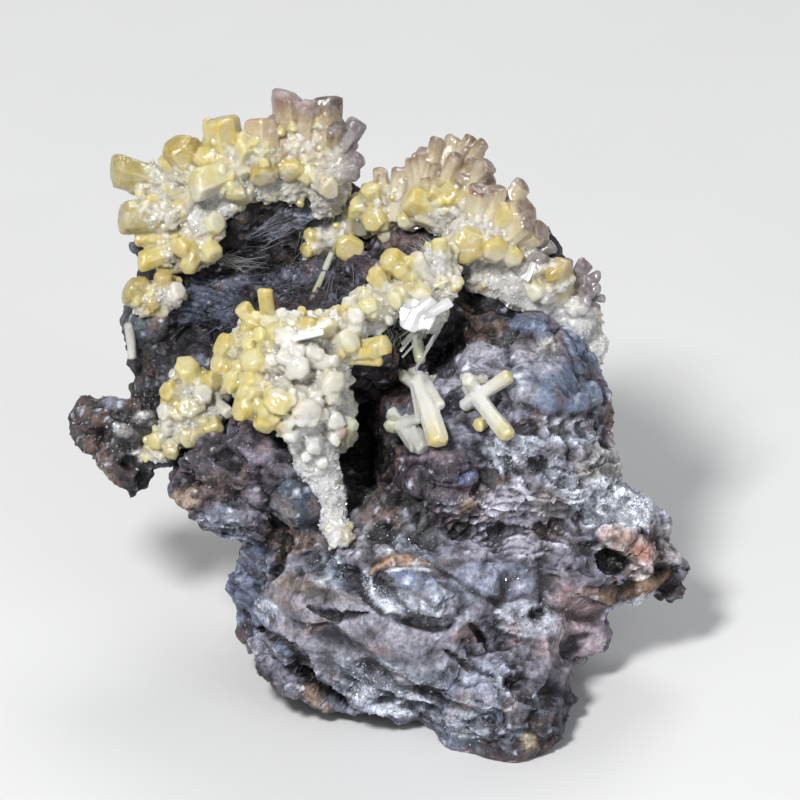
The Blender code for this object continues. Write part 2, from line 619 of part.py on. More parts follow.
def build_cluster(name, tree, grown, parts, helpers):
    """One cluster: its crust and its crystals joined, and cut to sit on the matrix."""
    crystals = bpy.data.collections.new(f"{name}_crystals")
    helpers.children.link(crystals)
    base = crust_mesh(name, tree, helpers)
    trees = [tree] if base is None else [tree, surface_tree(base)]
    made = crystal_objects(name, trees, crystals)
    if base is None:
        base = made[0].data.copy()
        bpy.data.objects.remove(made.pop(0))
    obj = new_object(f"{name}_raw", base, helpers)
    if made:
        boolean(obj, "UNION", collection=crystals)
    boolean(obj, "DIFFERENCE", grown)
    mesh = largest_body(baked(obj))
    mesh.calc_loop_triangles()
    triangles = len(mesh.loop_triangles)
    if triangles > SMALL_CLUSTER:
        mesh = decimated(mesh, helpers, round(triangles * CLUSTER_SHARE))
    return dressed(new_object(name, mesh, parts))


def centre(pieces):
    """Moves the finished pieces together, so that the box of the whole stands centred on the origin."""
    corners = np.vstack([coordinates(piece.data) for piece in pieces])
    shift = (corners.min(axis=0) + corners.max(axis=0)) / -2
    shift[2] = 0.0
    for piece in pieces:
        move_vertices(piece.data, coordinates(piece.data) + shift)


def clear_scene():
    """Removes every object of the startup scene."""
    for obj in list(bpy.data.objects):
        bpy.data.objects.remove(obj)


def main():
    """Builds the specimen."""
    clear_scene()
    parts = bpy.data.collections.new("mimetite_specimen")
    helpers = bpy.data.collections.new("cutters")
    for collection in (parts, helpers):
        bpy.context.scene.collection.children.link(collection)
    body = matrix_body(helpers)
    build_matrix(body, parts, helpers)
    tree = surface_tree(body)
    grown = grown_body(body, helpers)
    for name in CRYSTALS:
        build_cluster(name, tree, grown, parts, helpers)
    centre(parts.objects)


main()
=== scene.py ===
"""The looks of the mimetite specimen: yellow crystals in druses on a dark, broken iron-oxide rock.

Lengths are millimetres until a mesh is made, which holds metres. A place on the show face is
(u, v, w): u to the right, v up the face and w out of it, as in the solids' own source.
"""

from __future__ import annotations

import logging
import math
from abc import ABC, abstractmethod
from collections.abc import Callable, Iterable
from dataclasses import dataclass, field
from enum import Enum
from itertools import product

import bpy
import numpy as np
from mathutils import Vector
from mathutils.bvhtree import BVHTree
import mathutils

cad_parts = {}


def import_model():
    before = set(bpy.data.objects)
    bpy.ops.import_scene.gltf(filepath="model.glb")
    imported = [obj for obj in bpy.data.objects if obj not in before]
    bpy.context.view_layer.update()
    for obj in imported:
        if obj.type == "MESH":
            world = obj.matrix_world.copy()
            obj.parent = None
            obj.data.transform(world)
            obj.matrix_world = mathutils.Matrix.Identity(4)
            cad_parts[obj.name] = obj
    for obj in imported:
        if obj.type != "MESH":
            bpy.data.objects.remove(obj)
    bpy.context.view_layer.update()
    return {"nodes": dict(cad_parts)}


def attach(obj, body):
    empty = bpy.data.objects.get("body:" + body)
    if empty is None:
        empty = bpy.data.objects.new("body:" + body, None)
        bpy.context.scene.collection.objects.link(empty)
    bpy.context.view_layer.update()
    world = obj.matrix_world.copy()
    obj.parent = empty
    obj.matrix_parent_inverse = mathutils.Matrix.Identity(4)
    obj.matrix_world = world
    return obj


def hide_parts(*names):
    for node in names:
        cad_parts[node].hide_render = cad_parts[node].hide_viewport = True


MM = 0.001

# The kinds of value that most functions take or give
Array = np.ndarray
Chance = np.random.Generator
Socket = bpy.types.NodeSocket
Pair = tuple[float, float]
Triple = tuple[float, float, float]
Row = tuple[float, ...]

LOG = logging.getLogger("specimen")


def linear(colour: str) -> Array:
    """A display colour such as "#d8b040" as linear red, green and blue.

    Args:
        colour: a hash sign and six hexadecimal digits.

    Returns:
        Three linear shares from 0 to 1.
    """
    shares = np.array([int(colour[i : i + 2], 16) for i in (1, 3, 5)]) / 255.0
    return np.where(shares <= 0.04045, shares / 12.92, ((shares + 0.055) / 1.055) ** 2.4)


def unit(vectors: Array) -> Array:
    """Each row of an array of vectors at length one."""
    return vectors / np.maximum(np.linalg.norm(vectors, axis=-1, keepdims=True), 1e-12)


def eased(values: Array, low: float, high: float) -> Array:
    """0 below low, 1 above high, and a smooth S between them (3t^2 - 2t^3)."""
    share = np.clip((values - low) / (high - low), 0.0, 1.0)
    return share * share * (3.0 - 2.0 * share)


def blended(first: Array, second: Array, share: Array) -> Array:
    """Colours between two colours, by a share for each point."""
    return first * (1.0 - share[..., None]) + second * share[..., None]


def aimed(azimuth: float, height: float) -> Array:
    """The direction to a place round the specimen.

    Args:
        azimuth: degrees round from the camera, positive to its right.
        height: degrees above the horizon.

    Returns:
        A unit vector in row axes.
    """
    turn, lift = math.radians(azimuth), math.radians(height)
    return np.array([math.sin(turn) * math.cos(lift), -math.cos(turn) * math.cos(lift), math.sin(lift)])


CAMERA_WAY = aimed(0.0, 30.0)
KEY_WAY = aimed(-26.0, 50.0)
# The normal of a plate that mirrors the key light into the camera
GLINT = unit(CAMERA_WAY + KEY_WAY)


# The show face and the noise that shapes the stone


@dataclass(frozen=True)
class FaceFrame:
    """The frame of the show face, which leans back so that its normal rises above the horizon.

    Attributes:
        origin: the face's middle in row millimetres.
        rise: the angle of its normal above the horizon, in radians.
    """

    origin: Triple = (1.3305, -2.1765, 22.0)
    rise: float = math.radians(30.0)

    def axes(self) -> Array:
        """The face's u, v and w directions as the rows of a matrix."""
        run, up = math.cos(self.rise), math.sin(self.rise)
        return np.array([[1.0, 0.0, 0.0], [0.0, up, run], [0.0, -run, up]])

    def to_row(self, places: Array) -> Array:
        """Face places as row places."""
        return np.asarray(places, float) @ self.axes() + self.origin

    def to_face(self, places: Array) -> Array:
        """Row places as face places."""
        return (np.asarray(places, float) - self.origin) @ self.axes().T

    def turned(self, vectors: Array) -> Array:
        """Row directions seen in the face's axes."""
        return vectors @ self.axes().T

    def direction(self, heading: Array, rise: Array) -> Array:
        """Unit vectors in the row frame.

        Args:
            heading: degrees in the face, 0 to the right and 90 up it.
            rise: degrees out of the face.

        Returns:
            One direction for each pair of angles.
        """
        turn, lift = np.radians(heading), np.radians(rise)
        flat = np.cos(lift)
        on_face = np.stack([np.cos(turn) * flat, np.sin(turn) * flat, np.sin(lift)], axis=-1)
        return on_face @ self.axes()


FACE = FaceFrame()
# Straight out of the show face, in row axes
OUTWARD = FACE.direction(90.0, 90.0)
# Slope and start of how fast the show face's relief and its paint give way towards the back
RELIEF_FRONT = (1.6, 0.3)
PAINT_FRONT = (1.8, 0.7)


def fronted(facing: Array, slope: float, start: float) -> Array:
    """1 where a normal in face axes looks out of the show face, 0 at the back."""
    return np.clip(facing[:, 2] * slope + start, 0.0, 1.0)


def hashed(cells: Array, seed: int) -> Array:
    """A repeatable number from 0 to 1 for each integer cell: primes times its indices, mixed by shifts."""
    x, y, z = np.moveaxis(cells, -1, 0)
    mixed = (x * 73856093) ^ (y * 19349663) ^ (z * 83492791) ^ (seed * 49979693)
    mixed = (mixed ^ (mixed >> 13)) * 1274126177
    mixed = (mixed ^ (mixed >> 15)) * 668265263
    return ((mixed ^ (mixed >> 16)) & 0xFFFF) / 65535.0


def lattice_noise(places: Array, seed: int) -> Array:
    """Value noise from -1 to 1: a hashed value at each corner of a unit lattice, eased between corners."""
    cell = np.floor(places).astype(np.int64)
    part = places - cell
    ease = part * part * (3.0 - 2.0 * part)
    total = np.zeros(len(places))
    for corner in product((0, 1), repeat=3):
        weight = np.prod(np.where(corner, ease, 1.0 - ease), axis=1)
        total += (hashed(cell + corner, seed) * 2.0 - 1.0) * weight
    return total


# What the octaves come to together, by which they are brought back to about one
OCTAVE_SUM = 1.4


def fractal(places: Array, size: float, seed: int, octaves: int = 3) -> Array:
    """Octaves of lattice noise, each twice as fine and half as strong as the one before.

    Args:
        places: points in millimetres.
        size: the coarsest lattice's pitch in millimetres.
        seed: which noise.
        octaves: how many layers.

    Returns:
        A value for each point, about -1 to 1.
    """
    layers = [lattice_noise(places / size * 2**k, seed + k) / 2**k for k in range(octaves)]
    return sum(layers) / OCTAVE_SUM


# The step from the seeds of a field's places to those of its tags
TAG_SEED = 7


@dataclass(frozen=True)
class Cells:
    """What each point finds in a field of scattered seeds, one in each cell of a lattice.

    Attributes:
        nearest: distance to the nearest seed, as a share of the pitch.
        second: distance to the next one.
        offset: the way from the nearest seed to the point, as a share of the pitch.
        tag: three random numbers from 0 to 1 that belong to the nearest seed.
    """

    nearest: Array
    second: Array
    offset: Array
    tag: Array

    @classmethod
    def around(cls, places: Array, pitch: float, seed: int) -> Cells:
        """Looks through the 27 cells about each point and keeps its two nearest seeds.

        Args:
            places: points in millimetres.
            pitch: the size of a cell in millimetres.
            seed: which field.

        Returns:
            The field at the points.
        """
        scaled = places / pitch
        home = np.floor(scaled).astype(np.int64)
        nearest = np.full(len(places), math.inf)
        second = nearest.copy()
        offset = np.zeros_like(scaled)
        chosen = home.copy()
        for step in product((-1, 0, 1), repeat=3):
            cell = home + step
            jitter = np.stack([hashed(cell, seed + k) for k in range(3)], axis=-1)
            away = scaled - cell - jitter
            distance = np.linalg.norm(away, axis=1)
            closer = distance < nearest
            second = np.where(closer, nearest, np.minimum(second, distance))
            nearest = np.where(closer, distance, nearest)
            offset[closer] = away[closer]
            chosen[closer] = cell[closer]
        tag = np.stack([hashed(chosen, seed + TAG_SEED + k) for k in range(3)], axis=-1)
        return cls(nearest, second, offset, tag)

    def facets(self) -> Array:
        """A height that tilts as one plane in each cell: the offset times the cell's random direction."""
        return np.sum(self.offset * (self.tag * 2.0 - 1.0), axis=1)


# Meshes as arrays


@dataclass
class Skin:
    """A triangle mesh with a colour at each vertex.

    Attributes:
        points: vertices in row millimetres.
        triangles: three vertex numbers each.
        shade: linear colour of each vertex.
        gloss: how polished each vertex is, 0 to 1, or one number for all.
    """

    points: Array
    triangles: Array
    shade: Array | None = None
    gloss: Array | float = 1.0

    @classmethod
    def read(cls, mesh: bpy.types.Mesh) -> Skin:
        """The triangles of a mesh that holds metres."""
        mesh.calc_loop_triangles()
        points = np.empty(len(mesh.vertices) * 3, np.float32)
        triangles = np.empty(len(mesh.loop_triangles) * 3, np.int32)
        mesh.vertices.foreach_get("co", points)
        mesh.loop_triangles.foreach_get("vertices", triangles)
        skin = cls(points.reshape(-1, 3).astype(float) / MM, triangles.reshape(-1, 3))
        layer = mesh.attributes.get("shade")
        if layer is not None:
            colours = np.empty(len(mesh.vertices) * 4, np.float32)
            layer.data.foreach_get("color", colours)
            skin.shade, skin.gloss = colours.reshape(-1, 4)[:, :3].astype(float), colours[3::4].astype(float)
        return skin

    @classmethod
    def joined(cls, skins: Iterable[Skin]) -> Skin:
        """Several skins as one. Their parts stay apart."""
        skins = list(skins)
        starts = np.cumsum([0] + [len(skin.points) for skin in skins[:-1]])
        return cls(
            np.vstack([skin.points for skin in skins]),
            np.vstack([skin.triangles + start for skin, start in zip(skins, starts)]),
            None if skins[0].shade is None else np.vstack([skin.shade for skin in skins]),
            np.concatenate([np.broadcast_to(skin.gloss, len(skin.points)) for skin in skins]),
        )

    def merged(self, distance: float = 1e-4) -> Skin:
        """The skin with vertices that lie together made one, by rounding to this distance."""
        keys = np.round(self.points / distance).astype(np.int64)
        _, first, index = np.unique(keys, axis=0, return_index=True, return_inverse=True)
        triangles = index.reshape(-1)[self.triangles]
        a, b, c = triangles.T
        return Skin(self.points[first], triangles[(a != b) & (b != c) & (a != c)])

    def mesh(self, name: str) -> bpy.types.Mesh:
        """The skin as a mesh in metres, with its colour and its gloss as the attribute shade."""
        made = bpy.data.meshes.new(name)
        made.vertices.add(len(self.points))
        made.vertices.foreach_set("co", (self.points * MM).astype(np.float32).ravel())
        made.loops.add(self.triangles.size)
        made.loops.foreach_set("vertex_index", self.triangles.astype(np.int32).ravel())
        made.polygons.add(len(self.triangles))
        starts = np.arange(0, self.triangles.size, 3, dtype=np.int32)
        made.polygons.foreach_set("loop_start", starts)
        made.update(calc_edges=True)
        made.validate()
        if self.shade is not None:
            colours = np.empty((len(self.points), 4), np.float32)
            colours[:, :3], colours[:, 3] = self.shade, self.gloss
            made.attributes.new("shade", "FLOAT_COLOR", "POINT").data.foreach_set("color", colours.ravel())
        return made

    def crosses(self) -> Array:
        """Each triangle's normal, as long as twice its area."""
        a, b, c = (self.points[self.triangles[:, k]] for k in range(3))
        return np.cross(b - a, c - a)

    def normals(self) -> Array:
        """Vertex normals: the triangles' normals added up at their corners and brought to length one."""
        crosses = self.crosses()
        total = np.zeros_like(self.points)
        for k in range(3):
            for axis in range(3):
                total[:, axis] += np.bincount(
                    self.triangles[:, k], weights=crosses[:, axis], minlength=len(self.points)
                )
        return unit(total)

    def averaged(self, values: Array, rounds: int) -> Array:
        """Values spread over the skin: each vertex takes its neighbours' mean, this many times."""
        a, b = self.triangles.ravel(), np.roll(self.triangles, 1, axis=1).ravel()
        count = np.bincount(a, minlength=len(self.points)).clip(1)
        for _ in range(rounds):
            values = np.bincount(a, weights=values[b], minlength=len(self.points)) / count
        return values

    def hollowness(self, rounds: int) -> Array:
        """How far each vertex lies below its neighbourhood's mean, along its normal, in millimetres."""
        mean = np.stack([self.averaged(self.points[:, axis], rounds) for axis in range(3)], axis=-1)
        return np.sum((mean - self.points) * self.normals(), axis=1)


class Side(Enum):
    """A side of the specimen: the w a ray starts from, and the w to look from where the ray meets nothing."""

    FRONT = (60.0, -7.0)
    BACK = (-60.0, -11.0)


@dataclass
class Surface:
    """A skin to sit things on."""

    skin: Skin
    tree: BVHTree = field(init=False)

    def __post_init__(self) -> None:
        """Builds the search tree."""
        self.tree = BVHTree.FromPolygons(self.skin.points.tolist(), self.skin.triangles.tolist())

    def seat(self, u: float, v: float, side: Side = Side.FRONT) -> tuple[Array, Array]:
        """The first point met from the front or from behind at (u, v), or else the nearest one.

        Args:
            u: place across the face.
            v: place up the face.
            side: the side that it is met from.

        Returns:
            The point and the normal there, in row millimetres.
        """
        far, level = side.value
        start, toward = FACE.to_row(np.array([(u, v, far), (u, v, 0.0)]))
        place, normal, *_ = self.tree.ray_cast(Vector(start), Vector(toward - start).normalized())
        if place is None:
            edge = FACE.to_row(np.array([u, v, level]))
            place, normal, *_ = self.tree.find_nearest(Vector(edge))
        return np.array(place), np.array(normal)

    def scattered(
        self,
        count: int,
        rng: Chance,
        weight: Callable[[Array, Array], Array],
    ) -> tuple[Array, Array]:
        """Random places on the skin, as many to each triangle as its area times its weight asks.

        Args:
            count: how many.
            rng: the source of chance.
            weight: gives each triangle's share from its middle and normal, both in face axes.

        Returns:
            Places and normals in row millimetres.
        """
        crosses = self.skin.crosses()
        corners = self.skin.points[self.skin.triangles]
        share = weight(FACE.to_face(corners.mean(axis=1)), FACE.turned(unit(crosses)))
        running = np.cumsum(np.linalg.norm(crosses, axis=1) * share)
        chosen = np.searchsorted(running, rng.random(count) * running[-1])
        first, second = np.sqrt(rng.random(count)), rng.random(count)
        mix = np.stack([1.0 - first, first * (1.0 - second), first * second], axis=-1)
        return np.einsum("nk,nkc->nc", mix, corners[chosen]), unit(crosses[chosen])


def remeshed(skin: Skin, voxel: float, smoothing: int) -> Skin:
    """One closed skin round overlapping shells.

    Args:
        skin: the shells.
        voxel: the new mesh's cell in millimetres.
        smoothing: how many times its steps are smoothed.

    Returns:
        The new skin.
    """
    obj = bpy.data.objects.new("raw", skin.mesh("raw"))
    bpy.context.scene.collection.objects.link(obj)
    cover = obj.modifiers.new("cover", "REMESH")
    cover.mode = "VOXEL"
    cover.voxel_size = voxel * MM
    obj.modifiers.new("smooth", "SMOOTH").iterations = smoothing
    return baked(obj)


def painted(skin: Skin, source: Skin) -> Skin:
    """The skin with colours and gloss from the nearest place of another skin, by a data transfer."""
    skin.shade = np.zeros_like(skin.points)
    obj = bpy.data.objects.new("raw", skin.mesh("raw"))
    model = bpy.data.objects.new("model", source.mesh("model"))
    for part in (obj, model):
        bpy.context.scene.collection.objects.link(part)
    carry = obj.modifiers.new("carry", "DATA_TRANSFER")
    carry.object = model
    carry.use_vert_data = True
    carry.data_types_verts = {"COLOR_VERTEX"}
    carry.vert_mapping = "POLYINTERP_NEAREST"
    made = baked(obj)
    bpy.data.objects.remove(model)
    return made


def baked(obj: bpy.types.Object) -> Skin:
    """The skin that an object's modifiers leave. The object is removed."""
    graph = bpy.context.evaluated_depsgraph_get()
    made = Skin.read(bpy.data.meshes.new_from_object(obj.evaluated_get(graph)))
    bpy.data.objects.remove(obj)
    return made


def thinned(skin: Skin, most: int) -> Skin:
    """The skin with about this many triangles, fewest where it is flat."""
    obj = bpy.data.objects.new("raw", skin.mesh("raw"))
    bpy.context.scene.collection.objects.link(obj)
    thin = obj.modifiers.new("thin", "DECIMATE")
    thin.ratio = min(1.0, most / len(skin.triangles))
    thin.use_collapse_triangulate = True
    return baked(obj)


def tube_triangles(rings: int, around: int) -> Array:
    """The triangles of one closed form: rings of vertices joined to each other, then its two poles.

    Args:
        rings: how many rings.
        around: vertices in a ring.

    Returns:
        Vertex numbers. The first pole is number rings * around and the last pole comes after it.
    """
    ring, turn = np.meshgrid(np.arange(rings - 1), np.arange(around), indexing="ij")
    after = (turn + 1) % around
    a, b = ring * around + turn, ring * around + after
    c, d = a + around, b + around
    sides = np.concatenate([np.stack([a, b, d], -1).reshape(-1, 3), np.stack([a, d, c], -1).reshape(-1, 3)])
    turn = np.arange(around)
    after = (turn + 1) % around
    low, high = np.full(around, rings * around), np.full(around, rings * around + 1)
    last = (rings - 1) * around
    return np.concatenate(
        [sides, np.stack([low, after, turn], -1), np.stack([high, last + turn, last + after], -1)]
    )


def repeated(triangles: Array, copies: int, vertices: int) -> Array:
    """The triangles of many copies of a form that has this many vertices."""
    return (triangles[None] + np.arange(copies)[:, None, None] * vertices).reshape(-1, 3)


def spheres(centres: Array, radii: Array, rings: int = 12, around: int = 20) -> Skin:
    """Spheres by latitude and longitude.

    A point is the sine of its latitude times the cosine and the sine of its turn, and the cosine
    of its latitude up.

    Args:
        centres: middles in row millimetres.
        radii: one radius for each.
        rings: rings between the poles.
        around: vertices in a ring.

    Returns:
        The closed shells.
    """
    latitude = np.linspace(math.pi, 0.0, rings + 2)[1:-1]
    turn = np.arange(around) * 2.0 * math.pi / around
    flat = np.sin(latitude)[:, None]
    ball = np.stack(
        [flat * np.cos(turn), flat * np.sin(turn), np.repeat(np.cos(latitude)[:, None], around, 1)], axis=-1
    ).reshape(-1, 3)
    ball = np.vstack([ball, [(0, 0, -1), (0, 0, 1)]])
    points = centres[:, None] + ball[None] * radii[:, None, None]
    return Skin(points.reshape(-1, 3), repeated(tube_triangles(rings, around), len(centres), len(ball)))


# Crystals


class Tone(Enum):
    """A crystal's display colours at its root, along its prism, at its shoulder and at its tip."""

    HONEY = ("#f4ecc4", "#eadb88", "#e0c85c", "#e6d27e")
    LEMON = ("#f8f4da", "#f0e6a8", "#e8da80", "#eddf9a")
    OLIVE = ("#dcd29c", "#cabb70", "#b8a650", "#c0b064")
    AMBER = ("#eadc9c", "#d8c264", "#c4a944", "#cdb458")
    CREAM = ("#fdfdf8", "#fdfcf4", "#f8f3da", "#e4d484")
    ROSE = ("#f4ecd8", "#e8dcac", "#dcc290", "#c2a092")
    BROWN = ("#f2e8ca", "#d6bc8a", "#50301f", "#553628")
    PLUM = ("#f0e6d0", "#e2cd9a", "#946c5a", "#b7a3a2")
    BEIGE = ("#f6eed6", "#f2e6c2", "#e6d4ac", "#80604c")
    SMOKE = ("#d2ccc8", "#a69a9b", "#776a71", "#83767b")
    MILK = ("#faf9f4", "#f7f4ea", "#f4efdc", "#f6f2e6")
    PALE_GREEN = ("#dfe2d2", "#cdd0b4", "#c0c494", "#cbcea8")
    GREY = ("#eaeae6", "#d2d3ce", "#c4c6bf", "#cdcfc8")
    SNOW = ("#ffffff", "#ffffff", "#ffffff", "#ffffff")

    def colours(self) -> Array:
        """The four colours as linear rows."""
        return np.array([linear(name) for name in self.value])


@dataclass(frozen=True)
class Habit:
    """How the crystals of one kind grow. Shares are of the radius.

    Attributes:
        around: vertices in a ring, a multiple of six.
        rings: rings along the prism.
        depth: how deep the root is sunk, in millimetres.
        taper: the root's share of the full radius.
        uneven: how much the six corners differ.
        round_off: how far the sides bulge towards a circle, 0 to 1.
        striae: how strongly each line along the prism stands out or in.
        bands: how strongly each ring stands out or in.
        tip_height: least and most height of the ending.
        tip_flat: least and most share that its flat top keeps.
        grain: height of the etched unevenness, in millimetres.
        lean: how far the ending leans, as a slope.
        inward: how far in each ring of the ending lies, from the prism to its flat top.
        upward: how far up each of them lies.
        flat: the share of its width that its thickness has. A flat crystal lies open to the light.
    """

    around: int = 18
    rings: int = 6
    depth: float = 1.7
    taper: float = 0.88
    uneven: float = 0.16
    round_off: float = 0.15
    striae: float = 0.03
    bands: float = 0.03
    tip_height: Pair = (0.28, 0.5)
    tip_flat: Pair = (0.50, 0.74)
    grain: float = 0.05
    lean: float = 0.16
    inward: Row = (0.22, 0.5, 0.86, 1.0)
    upward: Row = (0.45, 0.72, 0.93, 1.0)
    flat: float = 1.0


# How much the clouds in a crystal lighten and darken it
CLOUD_SHADE = 0.08
# How each colour of a tone follows the one before: the clouds' shift, and where it starts and is full
COLOUR_STEPS = ((0.22, -0.05, 0.40), (0.16, 0.52, 0.80), (0.10, 0.84, 1.0))
# How far a flat crystal rolls from the light, in radians
FLAT_ROLL = 0.05
# The upward share of an axis past which it counts as upright
STEEP = 0.9


@dataclass
class Crystals:
    """Many crystals of one habit, worked out together.

    Attributes:
        roots: where each leaves the ground, in row millimetres.
        axes: its direction.
        lengths: from the root to the tip.
        radii: half its width across the corners.
        colours: for each crystal, the four colours of its tone.
    """

    roots: Array
    axes: Array
    lengths: Array
    radii: Array
    colours: Array

    @classmethod
    def stacked(cls, groups: list[Crystals]) -> Crystals:
        """Several groups of crystals as one."""
        names = ("roots", "axes", "lengths", "radii", "colours")
        return cls(*(np.concatenate([getattr(group, name) for group in groups]) for name in names))

    def outline(self, habit: Habit, rng: Chance) -> Array:
        """Each crystal's cross-section at radius one.

        Six corners at uneven distances are joined by straight sides. Each point is then drawn
        towards the circle by a power of its distance, and each line is raised or sunk a little.

        Args:
            habit: the shape.
            rng: the source of chance.

        Returns:
            Flat points, one row for each crystal.
        """
        count = len(self.roots)
        step = np.arange(habit.around) * 6.0 / habit.around
        corner = step.astype(int)
        part = (step - corner)[None, :, None]
        turns = np.arange(7) * math.pi / 3.0
        reach = 1.0 + habit.uneven * rng.uniform(-1.0, 1.0, (count, 6))
        reach = np.concatenate([reach, reach[:, :1]], axis=1)
        corners = reach[..., None] * np.stack([np.cos(turns), np.sin(turns)], axis=-1)
        flat = corners[:, corner] * (1.0 - part) + corners[:, corner + 1] * part
        bulge = np.linalg.norm(flat, axis=-1, keepdims=True) ** -habit.round_off
        lines = 1.0 + habit.striae * rng.uniform(-1.0, 1.0, (count, habit.around, 1))
        return flat * bulge * lines * np.array([1.0, habit.flat])

    def stations(self, habit: Habit, rng: Chance) -> tuple[Array, Array]:
        """The rings' heights and widths.

        The prism widens from its root by the root of its height. The ending steps in through a
        bevel, a slope and an edge to its flat top.

        Args:
            habit: the shape.
            rng: the source of chance.

        Returns:
            Heights in millimetres and widths as shares of the radius, a row for each crystal.
        """
        count = len(self.roots)
        tip = rng.uniform(*habit.tip_height, (count, 1)) * self.radii[:, None]
        flat = rng.uniform(*habit.tip_flat, (count, 1))
        share = np.linspace(0.0, 1.0, habit.rings)[None]
        shaft = (self.lengths[:, None] + habit.depth - tip) * share - habit.depth
        width = habit.taper + (1.0 - habit.taper) * np.sqrt(share)
        width = width + habit.bands * rng.uniform(-1.0, 1.0, (count, habit.rings))
        inward, upward = np.array([habit.inward]), np.array([habit.upward])
        heights = np.concatenate([shaft, shaft[:, -1:] + tip * upward], axis=1)
        return heights, np.concatenate([width, 1.0 - (1.0 - flat) * inward], axis=1)

    def across(self, habit: Habit, rng: Chance) -> tuple[Array, Array]:
        """Two directions across each crystal, at right angles to it and to each other.

        Args:
            habit: the shape. A flat crystal's second direction, its thickness, faces the light.
            rng: the source of chance.

        Returns:
            The two directions, a row for each crystal.
        """
        count = len(self.roots)
        if habit.flat < 1.0:
            side = unit(np.cross(self.axes, GLINT))
            roll = rng.normal(0.0, FLAT_ROLL, (count, 1))
        else:
            steep = np.abs(self.axes[:, 2:]) > STEEP
            side = unit(np.cross(self.axes, np.where(steep, [[1.0, 0.0, 0.0]], [[0.0, 0.0, 1.0]])))
            roll = rng.uniform(0.0, math.pi, (count, 1))
        other = np.cross(self.axes, side)
        return side * np.cos(roll) + other * np.sin(roll), other * np.cos(roll) - side * np.sin(roll)

    def skin(self, habit: Habit, rng: Chance) -> Skin:
        """The crystals as closed forms.

        A point is the root, plus its height along the axis, plus its outline point times the
        ring's width and the radius across the axis. The ending leans, so its height also changes
        with the place across.

        Args:
            habit: the shape.
            rng: the source of chance.

        Returns:
            The skin, coloured from root to tip.
        """
        count = len(self.roots)
        side, other = self.across(habit, rng)
        outline = self.outline(habit, rng)
        heights, widths = self.stations(habit, rng)
        lean = rng.normal(0.0, habit.lean, (count, 2))
        flat = outline[:, None] * widths[..., None, None] * self.radii[:, None, None, None]
        ending = (np.arange(heights.shape[1]) >= habit.rings)[None, :, None]
        tall = heights[..., None] + ending * np.einsum("nrac,nc->nra", flat, lean)
        outward = flat[..., :1] * side[:, None, None] + flat[..., 1:] * other[:, None, None]
        grid = self.roots[:, None, None] + tall[..., None] * self.axes[:, None, None] + outward
        poles = self.roots[:, None] + heights[:, [0, -1], None] * self.axes[:, None]
        points = np.concatenate([grid.reshape(count, -1, 3), poles], axis=1)
        push = np.concatenate([unit(outward).reshape(count, -1, 3), np.zeros((count, 2, 3))], axis=1)
        rough = fractal(points.reshape(-1, 3), 0.55, 83, octaves=2).reshape(count, -1, 1)
        points = points + push * rough * habit.grain * habit.flat
        along = np.concatenate([np.repeat(heights, habit.around, axis=1), heights[:, [0, -1]]], axis=1)
        shade = self.shades(along / self.lengths[:, None], points)
        triangles = repeated(tube_triangles(heights.shape[1], habit.around), count, points.shape[1])
        return Skin(points.reshape(-1, 3), triangles, shade.reshape(-1, 3))

    def shades(self, along: Array, points: Array) -> Array:
        """Colours by the height along each crystal, with clouds that shift where they change."""
        cloud = fractal(points.reshape(-1, 3), 0.9, 131, octaves=2).reshape(along.shape)
        mixed, *others = (self.colours[:, k][:, None] for k in range(4))
        for colour, (shift, start, full) in zip(others, COLOUR_STEPS):
            mixed = blended(mixed, colour, eased(along + shift * cloud, start, full))
        return mixed * (1.0 + CLOUD_SHADE * cloud[..., None])


def jittered(axes: Array, spread: float, rng: Chance) -> Array:
    """Directions that lean from the given ones by about this much of a radian."""
    return unit(axes + rng.normal(0.0, spread, axes.shape))


# The faces of a grain between its six ends, how far it leans in radians, how uneven its half axes
# are, and how much its colour varies
GRAIN_FACES = ((0, 1, 2), (0, 2, 4), (0, 5, 1), (0, 4, 5), (3, 2, 1), (3, 4, 2), (3, 1, 5), (3, 5, 4))
GRAIN_LEAN = 0.7
GRAIN_REACH = (0.45, 1.5)
GRAIN_SHADE = (0.8, 1.0)


def shards(
    places: Array, normals: Array, sizes: Array, rng: Chance, colour: str
) -> Skin:
    """Small grains: a middle plus and minus three uneven half axes, which makes eight faces.

    Args:
        places: where they sit.
        normals: the ground's normals there.
        sizes: their radii in millimetres.
        rng: the source of chance.
        colour: display colour.

    Returns:
        The closed forms.
    """
    count = len(places)
    axes = jittered(normals, GRAIN_LEAN, rng)
    side = unit(np.cross(axes, rng.normal(size=(count, 3))))
    half = np.stack([axes, side, np.cross(axes, side)], axis=1)
    half = half * sizes[:, None, None] * rng.uniform(*GRAIN_REACH, (count, 3, 1))
    points = places[:, None] + np.concatenate([half, -half], axis=1)
    shade = np.repeat(linear(colour)[None] * rng.uniform(*GRAIN_SHADE, (count, 1)), 6, axis=0)
    return Skin(points.reshape(-1, 3), repeated(np.array(GRAIN_FACES), count, 6), shade)


# Finishes


